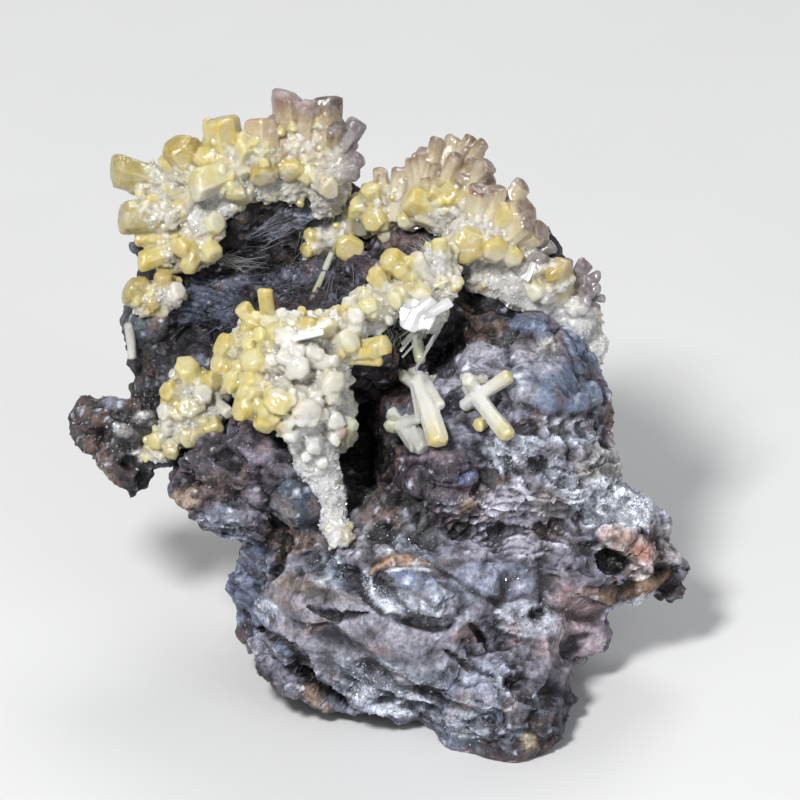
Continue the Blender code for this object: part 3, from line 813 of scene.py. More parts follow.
class Graph:
    """A material's node tree, with short calls for what the finishes need."""

    def __init__(self, name: str) -> None:
        """Starts a material that holds a Principled shader."""
        self.material = bpy.data.materials.new(name)
        self.material.use_nodes = True
        self.tree = self.material.node_tree
        self.shader = self.tree.nodes["Principled BSDF"]
        self.place = self.node("TexCoord").outputs["Object"]

    def node(self, kind: str, inputs: dict | None = None, **settings: object) -> bpy.types.ShaderNode:
        """Adds a node.

        Args:
            kind: its type name without the ShaderNode in front.
            inputs: values or sockets by input name or number.
            settings: its own properties.

        Returns:
            The node.
        """
        made = self.tree.nodes.new(f"ShaderNode{kind}")
        for name, value in settings.items():
            setattr(made, name, value)
        for key, value in (inputs or {}).items():
            self.put(made.inputs[key], value)
        return made

    def put(self, socket: Socket, value: object) -> None:
        """Links a socket into this one, or sets its value."""
        if isinstance(value, Socket):
            self.tree.links.new(value, socket)
        else:
            socket.default_value = value

    def attribute(self, name: str, output: str = "Color") -> Socket:
        """A vertex attribute of the piece."""
        return self.node("Attribute", attribute_name=name).outputs[output]

    def noise(self, size: float, detail: float, roughness: float) -> Socket:
        """Noise whose lumps are this many millimetres wide."""
        values = {"Vector": self.place, "Scale": 1.0 / (size * MM), "Detail": detail, "Roughness": roughness}
        return self.node("TexNoise", values).outputs["Fac"]

    def mottled(self, size: float, detail: float, roughness: float, *limits: object) -> Socket:
        """Noise mapped from a low and a high value to two others."""
        return self.ranged(self.noise(size, detail, roughness), *limits)

    def raised(self, size: float, detail: float, roughness: float, depth: float, strength: float) -> None:
        """Bumps the surface by a noise."""
        self.bump(self.noise(size, detail, roughness), depth, strength)

    def ranged(self, value: Socket, *limits: object) -> Socket:
        """A value mapped from the first two limits to the last two, and held between them."""
        keys = dict(zip((1, 2, 3, 4), limits))
        return self.node("MapRange", {0: value, **keys}).outputs[0]

    def math(self, operation: str, *values: object) -> Socket:
        """A sum, product or other rule for one to three values."""
        return self.node("Math", dict(enumerate(values)), operation=operation).outputs[0]

    def mixed(self, share: object, first: object, second: object, blend: str = "MIX") -> Socket:
        """Two colours mixed by a share."""
        inputs = {0: share, 6: first, 7: second}
        return self.node("Mix", inputs, data_type="RGBA", blend_type=blend).outputs[2]

    def stained(self, tone: Socket, share: object, colour: str) -> Socket:
        """A colour covered by a share of a display colour."""
        return self.mixed(share, tone, (*linear(colour), 1.0))

    def facets(self, size: float) -> Socket:
        """A height in millimetres that tilts as a plane in each random cell of this many millimetres."""
        scale = 1.0 / (size * MM)
        cells = self.node("TexVoronoi", {"Vector": self.place, "Scale": scale})
        away = self.node("VectorMath", {0: self.place, 1: cells.outputs["Position"]}, operation="SUBTRACT")
        tilt = self.node("VectorMath", {0: cells.outputs["Color"], 1: (0.5, 0.5, 0.5)}, operation="SUBTRACT")
        inputs = {0: away.outputs[0], 1: tilt.outputs[0]}
        height = self.node("VectorMath", inputs, operation="DOT_PRODUCT").outputs["Value"]
        return self.math("MULTIPLY", height, 1.0 / MM)

    def bump(self, height: Socket, depth: float, strength: object = 1.0) -> None:
        """Adds relief this many millimetres deep to the shader's normal, over what is there."""
        inputs = {"Height": height, "Distance": depth * MM, "Strength": strength}
        linked = self.shader.inputs["Normal"].links
        if linked:
            inputs["Normal"] = linked[0].from_socket
        self.put(self.shader.inputs["Normal"], self.node("Bump", inputs).outputs[0])

    def set(self, **values: object) -> None:
        """Sets or links the shader's inputs, named with underscores for their spaces."""
        for name, value in values.items():
            self.put(self.shader.inputs[name.replace("_", " ")], value)


@dataclass(frozen=True)
class RockFinish:
    """Iron-oxide rock: purple-brown and blue-black, glinting on fresh breaks.

    A mottling is its size, detail and roughness, and then what is found and what it becomes.
    A relief is its size, detail and roughness, and then its depth and strength.
    """

    ior: float = 1.5
    mirror: float = 0.42
    speckle: Row = (0.45, 6.0, 0.72, 0.32, 0.70, 0.38, 1.70)
    rust: Row = (1.9, 5.0, 0.65, 0.56, 0.72, 0.0, 0.30)
    dust: Row = (0.26, 4.0, 0.6, 0.62, 0.72, 0.0, 0.48)
    polish: Row = (0.5, 4.0, 0.6, -0.3, 0.5, 0.20, 0.78)
    lumps: Row = (0.9, 6.0, 0.62, 0.22, 0.8)
    breaks: Pair = (0.24, 0.45)
    crumbs: Row = (0.12, 3.0, 0.6, 0.03, 0.7)

    def material(self) -> bpy.types.Material:
        """The finish as a material: painted colour, speckled and stained, with three sizes of relief."""
        graph = Graph("rock_finish")
        tone = graph.mixed(1.0, graph.attribute("shade"), graph.mottled(*self.speckle), "MULTIPLY")
        tone = graph.stained(tone, graph.mottled(*self.rust), "#6b4a38")
        tone = graph.stained(tone, graph.mottled(*self.dust), "#aab0c0")
        polish = graph.math("SUBTRACT", graph.noise(*self.polish[:3]), graph.attribute("shade", "Alpha"))
        graph.set(Base_Color=tone, Roughness=graph.ranged(polish, *self.polish[3:]))
        graph.set(IOR=self.ior, Specular_IOR_Level=self.mirror)
        graph.raised(*self.lumps)
        graph.bump(graph.facets(self.breaks[0]), self.breaks[1])
        graph.raised(*self.crumbs)
        return graph.material


@dataclass(frozen=True)
class DruseFinish:
    """Mimetite and the white druse under it: light enters, spreads, and comes out warmer.

    The polished parts are crystal faces, and the rest is a crumbly, sparkling crust. A pair is the
    crust's value and the crystal's. The facets are size, depth and the pair of strengths.
    """

    name: str = "druse_finish"
    ior: float = 1.9
    soft: float = 0.9
    reach: float = 0.6
    spread: Triple = (1.0, 0.92, 0.60)
    passing: float = 0.10
    kept: float = 0.82
    rough: Row = (0.35, 5.0, 0.65, 0.38, 0.66, 0.06)
    dull: Pair = (0.42, 0.25)
    veil: Row = (1.1, 6.0, 0.75, 0.42, 0.66, 0.0)
    veiled: Pair = (0.80, 0.42)
    lumps: Row = (0.5, 5.0, 0.6, 0.08, 0.5)
    facets: tuple[Row, ...] = ((0.60, 0.34, 0.0, 0.30), (0.30, 0.40, 1.0, 0.38), (0.13, 0.36, 1.0, 0.80))

    def material(self) -> bpy.types.Material:
        """The finish as a material."""
        graph = Graph(self.name)
        crystal = graph.attribute("shade", "Alpha")
        rough = graph.mottled(*self.rough, graph.ranged(crystal, 0.0, 1.0, *self.dull))
        veil = graph.mottled(*self.veil, graph.ranged(crystal, 0.0, 1.0, *self.veiled))
        tone = graph.stained(graph.attribute("shade"), veil, "#f3f2ec")
        tone = graph.mixed(1.0, tone, (self.kept, self.kept, self.kept, 1.0), "MULTIPLY")
        graph.set(Base_Color=tone, Roughness=rough, IOR=self.ior, Transmission_Weight=self.passing)
        graph.set(Subsurface_Weight=self.soft, Subsurface_Scale=self.reach * MM)
        graph.set(Subsurface_Radius=self.spread)
        graph.raised(*self.lumps)
        for size, depth, *strengths in self.facets:
            graph.bump(graph.facets(size), depth, graph.ranged(crystal, 0.0, 1.0, *strengths))
        return graph.material


@dataclass(frozen=True)
class ClearFinish:
    """Clear, glassy blades, plates and grains."""

    name: str = "clear_finish"
    ior: float = 1.75
    passing: float = 0.5
    roughness: float = 0.05
    lumps: Row = (0.4, 3.0, 0.5, 0.02, 0.5)

    def material(self) -> bpy.types.Material:
        """The finish as a material."""
        graph = Graph(self.name)
        graph.set(Base_Color=graph.attribute("shade"), Roughness=self.roughness, IOR=self.ior)
        graph.set(Transmission_Weight=self.passing)
        graph.raised(*self.lumps)
        return graph.material


@dataclass(frozen=True)
class FloorFinish:
    """A plain, pale floor with a trace of mottling."""

    mottle: Row = (40.0, 3.0, 0.55, 0.3, 0.7, 0.0, 1.0)
    roughness: float = 0.65

    def material(self) -> bpy.types.Material:
        """The finish as a material."""
        graph = Graph("floor_finish")
        tone = graph.mixed(graph.mottled(*self.mottle), (*linear("#d9d9d8"), 1.0), (*linear("#dddddc"), 1.0))
        graph.set(Base_Color=tone, Roughness=self.roughness)
        return graph.material


def piece(
    skin: Skin, name: str, finish: bpy.types.Material, crease: float | None
) -> bpy.types.Object:
    """Makes a piece of the specimen, which rides on its one body.

    Args:
        skin: its shape.
        name: its name.
        finish: its material.
        crease: the angle in degrees past which an edge stays sharp, or None for flat faces.

    Returns:
        The object.
    """
    mesh = skin.mesh(name)
    mesh.materials.append(finish)
    if crease is None:
        mesh.shade_flat()
    else:
        mesh.shade_smooth()
        mesh.set_sharp_from_angle(angle=math.radians(crease))
    obj = bpy.data.objects.new(name, mesh)
    bpy.context.scene.collection.objects.link(obj)
    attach(obj, "root")
    LOG.info("%s: %d triangles", name, len(skin.triangles))
    return obj


# The matrix


class Mark(ABC):
    """A stain, mineral, crack or form on the show face, placed by (u, v) in millimetres.

    Attributes:
        colour: display colour.
        share: how much of it covers the stone.
        gloss: how polished it is.
        sparkle: how thickly bright grains lie on it.
        rise: how far it stands out, or lies sunk where it is negative.
        ragged: how far a noise moves its coloured rim, as a share of its half width.
        rim: where its colour starts to fade and ends, as shares of its half width.
        rim_bend: how far a noise moves its form's rim.
    """

    colour: str
    share: float
    gloss: float
    sparkle: float
    rise: float
    ragged: float = 0.4
    rim: Pair = (0.75, 1.25)
    rim_bend: float = 0.15

    @abstractmethod
    def distance(self, places: Array) -> Array:
        """How far each place lies from the mark's middle, as a share of the mark's half width."""

    def cover(self, places: Array, edge: Array) -> Array:
        """How much of the mark lies at each place on the face, its rim moved by a noise."""
        return 1.0 - eased(self.distance(places) + self.ragged * edge, *self.rim)

    def form(self, places: Array, edge: Array) -> Array:
        """The mark's own height in millimetres: a dome with a clear rim, or a hollow."""
        away = self.distance(places) + self.rim_bend * edge
        return self.rise * np.sqrt(np.clip(1.0 - away**2, 0.0, 1.0))


@dataclass(frozen=True)
class Patch(Mark):
    """An oval mark.

    Attributes:
        u: middle across the face.
        v: middle up it.
        half_u: half its length.
        half_v: half its width.
        turn: degrees that its length is turned.
    """

    u: float
    v: float
    half_u: float
    half_v: float
    turn: float
    colour: str = "#000000"
    share: float = 0.8
    gloss: float = 0.2
    sparkle: float = 0.0
    rise: float = 0.0

    def distance(self, places: Array) -> Array:
        """The distance in the turned oval's own axes, each divided by its half size."""
        turn = math.radians(self.turn)
        du, dv = places[:, 0] - self.u, places[:, 1] - self.v
        along = (du * math.cos(turn) + dv * math.sin(turn)) / self.half_u
        across = (dv * math.cos(turn) - du * math.sin(turn)) / self.half_v
        return np.hypot(along, across)


# How wide a stroke is at its ends, as a share of its middle
STROKE_END = 0.3


@dataclass(frozen=True)
class Stroke(Mark):
    """A mark that runs along a route and narrows to both ends.

    Attributes:
        route: the (u, v) points that it passes through.
        half: half its greatest width.
    """

    route: tuple[Pair, ...]
    half: float
    colour: str
    share: float = 0.85
    rise: float = 0.0
    sparkle: float = 0.0
    gloss: float = 0.3

    def distance(self, places: Array) -> Array:
        """The distance to the nearest straight run, by the half width there: least at the ends."""
        points = np.array(self.route)
        spans = np.linalg.norm(np.diff(points, axis=0), axis=1)
        best = np.full(len(places), math.inf)
        run = 0.0
        for start, end, span in zip(points[:-1], points[1:], spans):
            share = np.clip((places[:, :2] - start) @ (end - start) / span**2, 0.0, 1.0)
            away = np.linalg.norm(places[:, :2] - start - share[:, None] * (end - start), axis=1)
            whole = (run + share * span) / spans.sum()
            width = STROKE_END + (1.0 - STROKE_END) * np.sin(math.pi * whole)
            best = np.minimum(best, away / (self.half * width))
            run += span
        return best


# Broad fields of the stone, which the smaller marks lie on
FIELDS = (
    Patch(-2.0, -17.4, 10.0, 5.4, -14, "#7e7d89", 0.85, 0.25, 0.0),
    Patch(9.5, -14.5, 7.5, 8.0, 0, "#6f6c79", 0.80, 0.25, 0.12),
    Patch(10.0, -1.0, 8.0, 5.0, -10, "#70707f", 0.80, 0.30, 0.20),
    Patch(0.0, -10.6, 4.6, 2.6, -16, "#6a676e", 0.75, 0.25, 0.40),
    Patch(1.0, -22.6, 7.5, 3.0, -12, "#5b6274", 0.80, 0.35, 0.7),
    Patch(-11.4, -13.6, 1.9, 4.2, 8, "#535d76", 0.80, 0.35, 0.2),
    Patch(8.6, -8.9, 5.2, 3.0, 4, "#aca7b4", 0.85, 0.30, 0.4),
    Patch(12.6, -17.0, 2.8, 3.6, 0, "#9a8890", 0.85, 0.30, 0.3),
    Patch(-11.0, 11.6, 6.5, 4.0, 14, "#1f1c1c", 0.92, 0.15, 0.0),
    Patch(-14.0, 4.6, 8.0, 4.6, 10, "#26232a", 0.88, 0.15, 0.0),
    Patch(-12.4, -5.0, 4.2, 3.0, 10, "#453d46", 0.85, 0.30, 0.2),
    Patch(-20.8, -1.8, 3.2, 4.0, -20, "#353130", 0.90, 0.40, 0.5),
    Patch(1.6, 3.2, 4.2, 1.7, 38, "#1f1a1c", 0.85, 0.30),
    # The cavity: brown stone, darkened by painted shade of the deep hollow.
    Patch(-2.9, -3.8, 2.5, 3.9, 8, "#382f2b", 0.95, 0.35),
)

MARKS = (
    # the upper hollow
    Patch(-9.4, 13.0, 2.6, 0.8, 25, "#7f8596", 0.75, 0.4, 0.5),
    Patch(-14.4, 7.6, 2.6, 1.6, 20, "#4a5064", 0.80, 0.6, 0.3, 0.25),
    Patch(-8.2, 9.4, 4.0, 0.8, 14, "#565b6c", 0.70, 0.4, 0.4),
    Patch(-12.4, 8.8, 1.6, 0.5, 14, "#4b5064", 0.70, 0.6, 0.3, 0.25),
    Patch(-5.9, 12.6, 1.6, 0.5, 60, "#8d919c", 0.70, 0.4, 0.5),
    Patch(-3.4, 10.0, 1.0, 0.9, 0, "#302b38", 0.95, 0.8, 0.0, 0.55),
    Patch(-2.0, 12.3, 2.2, 0.9, -10, "#4a4444", 0.80, 0.5, 0.4),
    # the left side
    Patch(-19.0, 5.7, 1.6, 1.4, 10, "#3b4145", 0.90, 0.7, 0.0, 0.55),
    Patch(-15.9, 2.0, 2.4, 1.2, 24, "#626674", 0.75, 0.4, 0.4),
    Patch(-17.0, -0.6, 1.4, 1.8, 0, "#2a262c", 0.85, 0.2, 0.1),
    Patch(-10.6, -3.6, 1.5, 1.2, 0, "#6a6070", 0.75, 0.6, 0.6, 0.3),
    Patch(-23.4, -2.4, 0.7, 2.8, 12, "#4a3c36", 0.80, 0.2, 0.6),
    Patch(-20.9, -2.2, 0.9, 0.6, -20, "#6a6860", 0.85, 0.9, 0.8, 0.2),
    Patch(-21.5, -0.1, 1.0, 0.5, 10, "#686c78", 0.80, 0.8, 1.0, 0.2),
    Patch(-21.6, -1.2, 0.9, 0.5, -10, "#131318", 0.90, 0.9, 0.0, 0.1),
    Patch(-19.4, -1.3, 0.7, 0.4, 20, "#b4b2aa", 0.85, 0.5, 2.0, 0.1),
    Patch(-20.0, -3.4, 0.8, 0.5, 30, "#17161a", 0.90, 0.9, 0.0, 0.1),
    # Two sunken holes painted near-black: painted shade in the holes.
    Patch(-20.4, -4.7, 0.6, 0.6, 0, "#0c0b0c", 0.95, 0.1, 0.0, -0.5),
    Patch(-19.3, -6.2, 0.6, 1.0, 20, "#0e0c0d", 0.95, 0.1, 0.0, -0.5),
    Patch(-19.0, -4.0, 0.7, 0.5, 0, "#a8a08c", 0.85, 0.4, 0.5, 0.2),
    Patch(-22.2, -5.0, 0.6, 2.2, 24, "#5a473e", 0.75, 0.2, 0.6),
    Patch(-16.0, -7.4, 1.2, 0.9, 10, "#8c7862", 0.85, 0.3, 0.2, 0.4),
    Patch(-13.9, -6.6, 1.6, 1.1, 30, "#54433e", 0.75, 0.3, 0.2),
    Patch(-12.8, -9.6, 2.2, 1.6, -20, "#686e80", 0.75, 0.5, 1.3),
    # the slate lumps and the slab on the right
    Patch(7.8, 7.4, 1.8, 0.8, 5, "#141317", 0.95, 0.95, 0.0, 0.2),
    Patch(7.2, 5.0, 2.4, 1.2, 10, "#3b3431", 0.85, 0.4, 0.1),
    Patch(10.1, 5.8, 2.0, 0.75, -4, "#4b576f", 0.95, 0.85, 0.0, 0.5),
    Patch(13.1, 4.2, 1.8, 1.1, -38, "#5a6880", 0.95, 0.85, 0.0, 0.6),
    Patch(14.8, 2.9, 0.9, 0.9, 0, "#4c5466", 0.90, 0.8, 0.0, 0.4),
    Patch(11.7, 1.1, 4.0, 2.2, -6, "#4d5a70", 0.95, 0.7, 0.1, 0.7),
    Patch(15.1, 1.0, 1.1, 1.8, 8, "#565d70", 0.85, 0.6, 0.1, 0.45),
    Patch(9.3, 3.5, 1.2, 1.0, 0, "#6c656c", 0.80, 0.6, 0.3, 0.45),
    Patch(5.4, 2.9, 1.6, 1.1, 10, "#5a5266", 0.80, 0.6, 0.6, 0.4),
    Patch(11.0, 4.1, 1.3, 0.5, 24, "#aaa299", 0.75, 0.4, 0.5),
    Patch(8.4, 0.6, 2.0, 1.2, 0, "#77757c", 0.70, 0.3, 0.6),
    Patch(16.2, -0.8, 0.7, 2.6, -4, "#704a3e", 0.85, 0.3, 1.0),
    Stroke(((3.4, 0.6), (5.4, 2.2), (8.0, 2.0)), 0.5, "#8a8a96", 0.6, 0.2, 0.8),
    # the white, sparkling right shoulder
    Patch(8.2, -3.9, 2.2, 1.2, 14, "#aeb4c0", 0.85, 0.4, 2.0),
    Patch(12.4, -6.3, 3.2, 1.4, -38, "#9a9fac", 0.85, 0.4, 2.0),
    Patch(6.4, 3.8, 2.4, 0.9, 20, "#8e8c94", 0.65, 0.4, 1.4),
    Patch(10.4, 2.6, 2.0, 0.7, 10, "#9a98a0", 0.55, 0.4, 1.2),
    Patch(4.6, 0.8, 1.8, 0.8, -10, "#9c9ca4", 0.65, 0.4, 1.4),
    Patch(12.4, -2.4, 2.4, 0.9, -8, "#b4bac8", 0.85, 0.35, 0.9),
    Patch(15.0, -4.9, 2.0, 1.7, 0, "#98958f", 0.85, 0.5, 0.5, 0.6),
    Patch(15.4, -7.9, 2.8, 1.9, -10, "#b4bac6", 0.88, 0.4, 2.4),
    Patch(17.2, -8.0, 2.2, 1.5, -24, "#f2f5fa", 0.95, 0.6, 6.0, 0.3),
    Patch(12.4, -4.0, 2.4, 0.7, -6, "#5f5a60", 0.70, 0.3, 0.3),
    # A sunken hole painted near-black: painted shade.
    Patch(10.2, -4.9, 0.9, 0.7, 10, "#232024", 0.85, 0.2, 0.0, -0.4),
    Patch(19.9, -8.2, 1.0, 2.6, 16, "#8c8c98", 0.85, 0.4, 0.6),
    Patch(20.6, -11.4, 0.8, 2.2, 24, "#a39c98", 0.80, 0.3, 0.5),
    # the orange fold round the dark pit, and the ledge under it
    Patch(17.2, -10.9, 2.6, 1.1, -24, "#9c8074", 0.92, 0.3, 0.0, 0.6),
    Patch(18.1, -11.4, 0.9, 0.6, -24, "#9a5f48", 0.80, 0.3),
    Patch(18.1, -12.9, 1.1, 0.8, 20, "#c6b2ac", 0.92, 0.3, 0.2, 0.2),
    # The dark pit: sunk and painted near-black, painted shade in the pit.
    Patch(15.9, -12.1, 1.2, 0.9, -25, "#20232c", 0.95, 0.6, 0.0, -0.9),
    Stroke(((14.6, -11.4), (15.4, -10.7), (16.4, -10.7), (17.2, -11.6)), 0.28, "#a8a29e", 0.85, 0.3),
    Stroke(((13.6, -14.4), (16.4, -14.9), (18.8, -14.1), (20.4, -12.9)), 0.75, "#76593c", 0.92, 0.5),
    Stroke(((15.4, -15.9), (17.4, -15.5), (19.4, -14.5)), 0.32, "#b2b8c8", 0.85, 0.2, 1.2),
    Patch(21.4, -13.2, 0.8, 1.0, 20, "#484754", 0.85, 0.4, 0.3),
    # the purple block, its lens and the arcs
    Patch(2.7, -5.7, 3.2, 1.9, 3, "#3a3139", 0.92, 0.45, 0.15, 0.5),
    Stroke(((-0.2, -4.4), (2.4, -4.2), (5.0, -4.5)), 0.36, "#6c606a", 0.85, 0.3),
    Patch(5.1, -5.8, 0.9, 0.5, 20, "#5c6384", 0.85, 0.9, 0.3, 0.25),
    Patch(5.0, -8.0, 0.9, 0.5, 35, "#8d7450", 0.85, 0.3),
    # A sunken hollow painted near-black: painted shade.
    Patch(4.1, -9.6, 1.2, 0.8, 0, "#262732", 0.90, 0.5, 0.0, -0.4),
    Patch(11.0, -9.8, 1.1, 0.8, 0, "#5c4336", 0.80, 0.4, 0.2),
    Patch(11.2, -7.6, 1.6, 1.2, -40, "#867a74", 0.70, 0.3, 0.4),
    Patch(-3.0, -7.0, 2.2, 0.9, 0, "#3c3b36", 0.80, 0.2, 0.5),
    Patch(-1.0, -9.2, 1.6, 0.8, -6, "#5f5a56", 0.75, 0.3, 0.5),
    # A small sunken pit painted near-black: painted shade.
    Patch(-0.9, -9.3, 0.5, 0.3, 0, "#231b1a", 0.90, 0.3, 0.0, -0.3),
    # the curled slate nodule and what lies round it
    Patch(-10.9, -8.4, 1.2, 2.0, 10, "#625b64", 0.85, 0.4, 0.1, 0.5),
    Patch(-7.7, -7.9, 2.1, 1.9, -30, "#303a47", 0.95, 1.0, 0.0, 0.95),
    Patch(-8.9, -8.9, 1.2, 1.0, 0, "#706a6a", 0.85, 0.4, 0.6, -0.35),
    Patch(-8.2, -10.4, 2.0, 0.9, -10, "#665040", 0.80, 0.3, 0.2),
    # A sunken crack painted near-black: painted shade.
    Stroke(((-9.9, -13.6), (-9.0, -12.2), (-8.7, -10.9)), 0.4, "#151318", 0.92, -0.9),
    Patch(-5.4, -12.9, 2.0, 1.3, -24, "#6e7a8a", 0.80, 0.5, 1.4, 0.3),
    Patch(-8.0, -14.4, 2.4, 1.2, 10, "#6f6058", 0.75, 0.3, 0.0),
    Patch(-2.2, -11.2, 2.2, 0.9, -20, "#77757a", 0.75, 0.3, 1.0),
    Patch(1.8, -10.8, 2.4, 1.0, -16, "#74798a", 0.75, 0.4, 0.6),
    # the eye of ochre, white and blue
    Patch(0.9, -13.3, 1.9, 0.75, -14, "#51617f", 0.92, 0.8, 0.0, 0.2),
    Stroke(((-1.1, -12.7), (0.6, -12.3), (2.4, -12.7)), 0.26, "#a8adba", 0.85, 0.2, 0.8),
    Stroke(((-2.3, -13.0), (-1.4, -12.1), (0.2, -11.8), (2.2, -12.2)), 0.45, "#86684a", 0.92, 0.3),
    Stroke(
        ((-2.7, -12.9), (-2.2, -14.0), (-1.0, -14.9), (0.9, -15.1), (2.8, -15.9)),
        0.75, "#b4bac8", 0.90, 0.1, 3.0,
    ),
    # Painted shadow: the sunken dark crack under the white rim.
    Stroke(
        ((-2.8, -14.3), (-1.3, -15.7), (0.6, -16.4), (2.6, -17.0), (3.9, -16.7)),
        0.36, "#33333b", 0.85, -0.3,
    ),
    Patch(3.6, -14.2, 2.0, 1.1, -14, "#7b8190", 0.80, 0.4, 0.2, 0.4),
    Patch(7.0, -13.3, 3.4, 1.4, -6, "#7b8297", 0.80, 0.4, 0.6, 0.3),
    # A shallow crease painted dark: painted shade.
    Stroke(((2.6, -12.3), (5.4, -14.2), (8.0, -15.4), (11.0, -17.2)), 0.28, "#4c4c56", 0.75, -0.15),
    # the smooth front, its streaks and its creases
    Stroke(((-9.6, -14.2), (-4.6, -16.0), (1.6, -18.4)), 0.55, "#878390", 0.6),
    Stroke(((-8.4, -16.2), (-3.2, -18.2), (3.0, -19.8)), 0.40, "#67636d", 0.6),
    Stroke(((-10.2, -13.2), (-6.4, -14.2), (-2.4, -15.0)), 0.50, "#857a72", 0.6),
    Stroke(((-3.6, -16.2), (0.4, -17.4), (4.4, -18.2)), 0.45, "#8c8892", 0.5),
    # The next three creases are sunk and painted dark: painted shade in them.
    Stroke(((-6.9, -15.2), (-4.6, -16.2), (-2.4, -15.8)), 0.36, "#3a383e", 0.85, -0.5),
    Stroke(((-8.2, -16.6), (-6.4, -17.1), (-4.8, -16.7)), 0.26, "#4a484e", 0.80, -0.3),
    Stroke(((5.2, -16.6), (6.0, -17.7), (6.6, -18.6)), 0.34, "#2a2024", 0.92, -0.6),
    Patch(4.8, -17.4, 0.9, 0.7, 0, "#86695a", 0.75, 0.3),
    # A sunken crease painted dark: painted shade.
    Stroke(((3.4, -18.6), (5.2, -20.0), (7.0, -20.6)), 0.34, "#46464e", 0.85, -0.4),
    Patch(13.3, -15.6, 1.4, 1.8, 10, "#a2807f", 0.75, 0.3, 0.2),
    Patch(9.6, -16.4, 2.4, 1.5, -10, "#a0a3b0", 0.70, 0.3, 2.0, 0.3),
    # A sunken pit painted near-black: painted shade.
    Patch(10.2, -16.0, 0.7, 0.6, 0, "#272022", 0.92, 0.3, 0.0, -0.9),
    Patch(6.9, -21.0, 2.2, 1.6, 10, "#868c9e", 0.80, 0.35, 1.4, 0.3),
    # A sunken pit painted near-black: painted shade.
    Patch(8.6, -21.0, 1.0, 0.8, 20, "#0f0e10", 0.95, 0.3, 0.0, -1.0),
    Patch(0.2, -22.9, 2.2, 0.8, 5, "#c6ccdc", 0.90, 0.4, 3.0, 0.4),
    Patch(-2.6, -22.2, 1.2, 0.8, -30, "#b4bacc", 0.85, 0.4, 2.4, 0.3),
    Patch(5.0, -24.2, 1.8, 0.9, -20, "#9aa0b0", 0.80, 0.35, 2.0, 0.3),
    Patch(-0.6, -20.6, 3.6, 1.0, -8, "#59606e", 0.80, 0.35, 1.4),
    Patch(11.4, -22.0, 1.5, 3.4, -25, "#3b3d46", 0.75, 0.3, 0.05),
    Patch(9.6, -25.4, 0.5, 0.6, 0, "#b09f78", 0.85, 0.3, 0.5),
    # the long crack at the lower left, with its row of round lumps
    Patch(-10.6, -18.7, 1.0, 0.9, 0, "#615f6a", 0.85, 0.4, 0.4, 0.5),
    Patch(-9.7, -19.9, 1.0, 0.8, -30, "#5c5a66", 0.85, 0.4, 0.3, 0.5),
    Patch(-8.7, -21.0, 0.9, 0.8, -30, "#66626c", 0.85, 0.4, 0.3, 0.5),
    Patch(-7.7, -22.0, 0.9, 0.7, -30, "#5e5e6c", 0.85, 0.4, 0.5, 0.5),
    Patch(-6.3, -22.4, 1.6, 0.5, -42, "#7c6450", 0.85, 0.3, 0.0, 0.3),
    # The long crack is sunk and painted near-black: painted shade in it.
    Stroke(
        ((-10.9, -17.0), (-9.2, -17.9), (-7.8, -19.3), (-6.7, -20.8), (-5.2, -21.9), (-3.8, -23.1)),
        0.62, "#0f0f13", 0.95, -1.3,
    ),
    Patch(-8.8, -18.7, 0.7, 0.35, -30, "#7888a6", 0.90, 0.8, 0.4, 0.3),
    Patch(-10.2, -15.6, 1.0, 0.8, -10, "#a3abbc", 0.85, 0.4, 2.4, 0.2),
)

ALL_MARKS = FIELDS + MARKS


def sparkling(places: Array, front: Array) -> Array:
    """How thickly bright grains lie at each place: each mark covers those before it.

    Args:
        places: places in face axes.
        front: 1 on the front, 0 on the back.

    Returns:
        The sparkle at each place.
    """
    edge = fractal(places, 1.1, 251)
    sparkle = np.zeros(len(places))
    for mark in ALL_MARKS:
        cover = mark.cover(places, edge) * front * mark.share
        sparkle = sparkle * (1.0 - cover) + mark.sparkle * cover
    return sparkle


# Where the stone is smooth and folded, not broken
CALM = (
    Patch(-2.6, -17.0, 8.6, 3.8, -14),
    Patch(12.6, -17.4, 3.4, 4.0, 0),
    Patch(7.0, -13.6, 4.6, 1.8, -6),
)


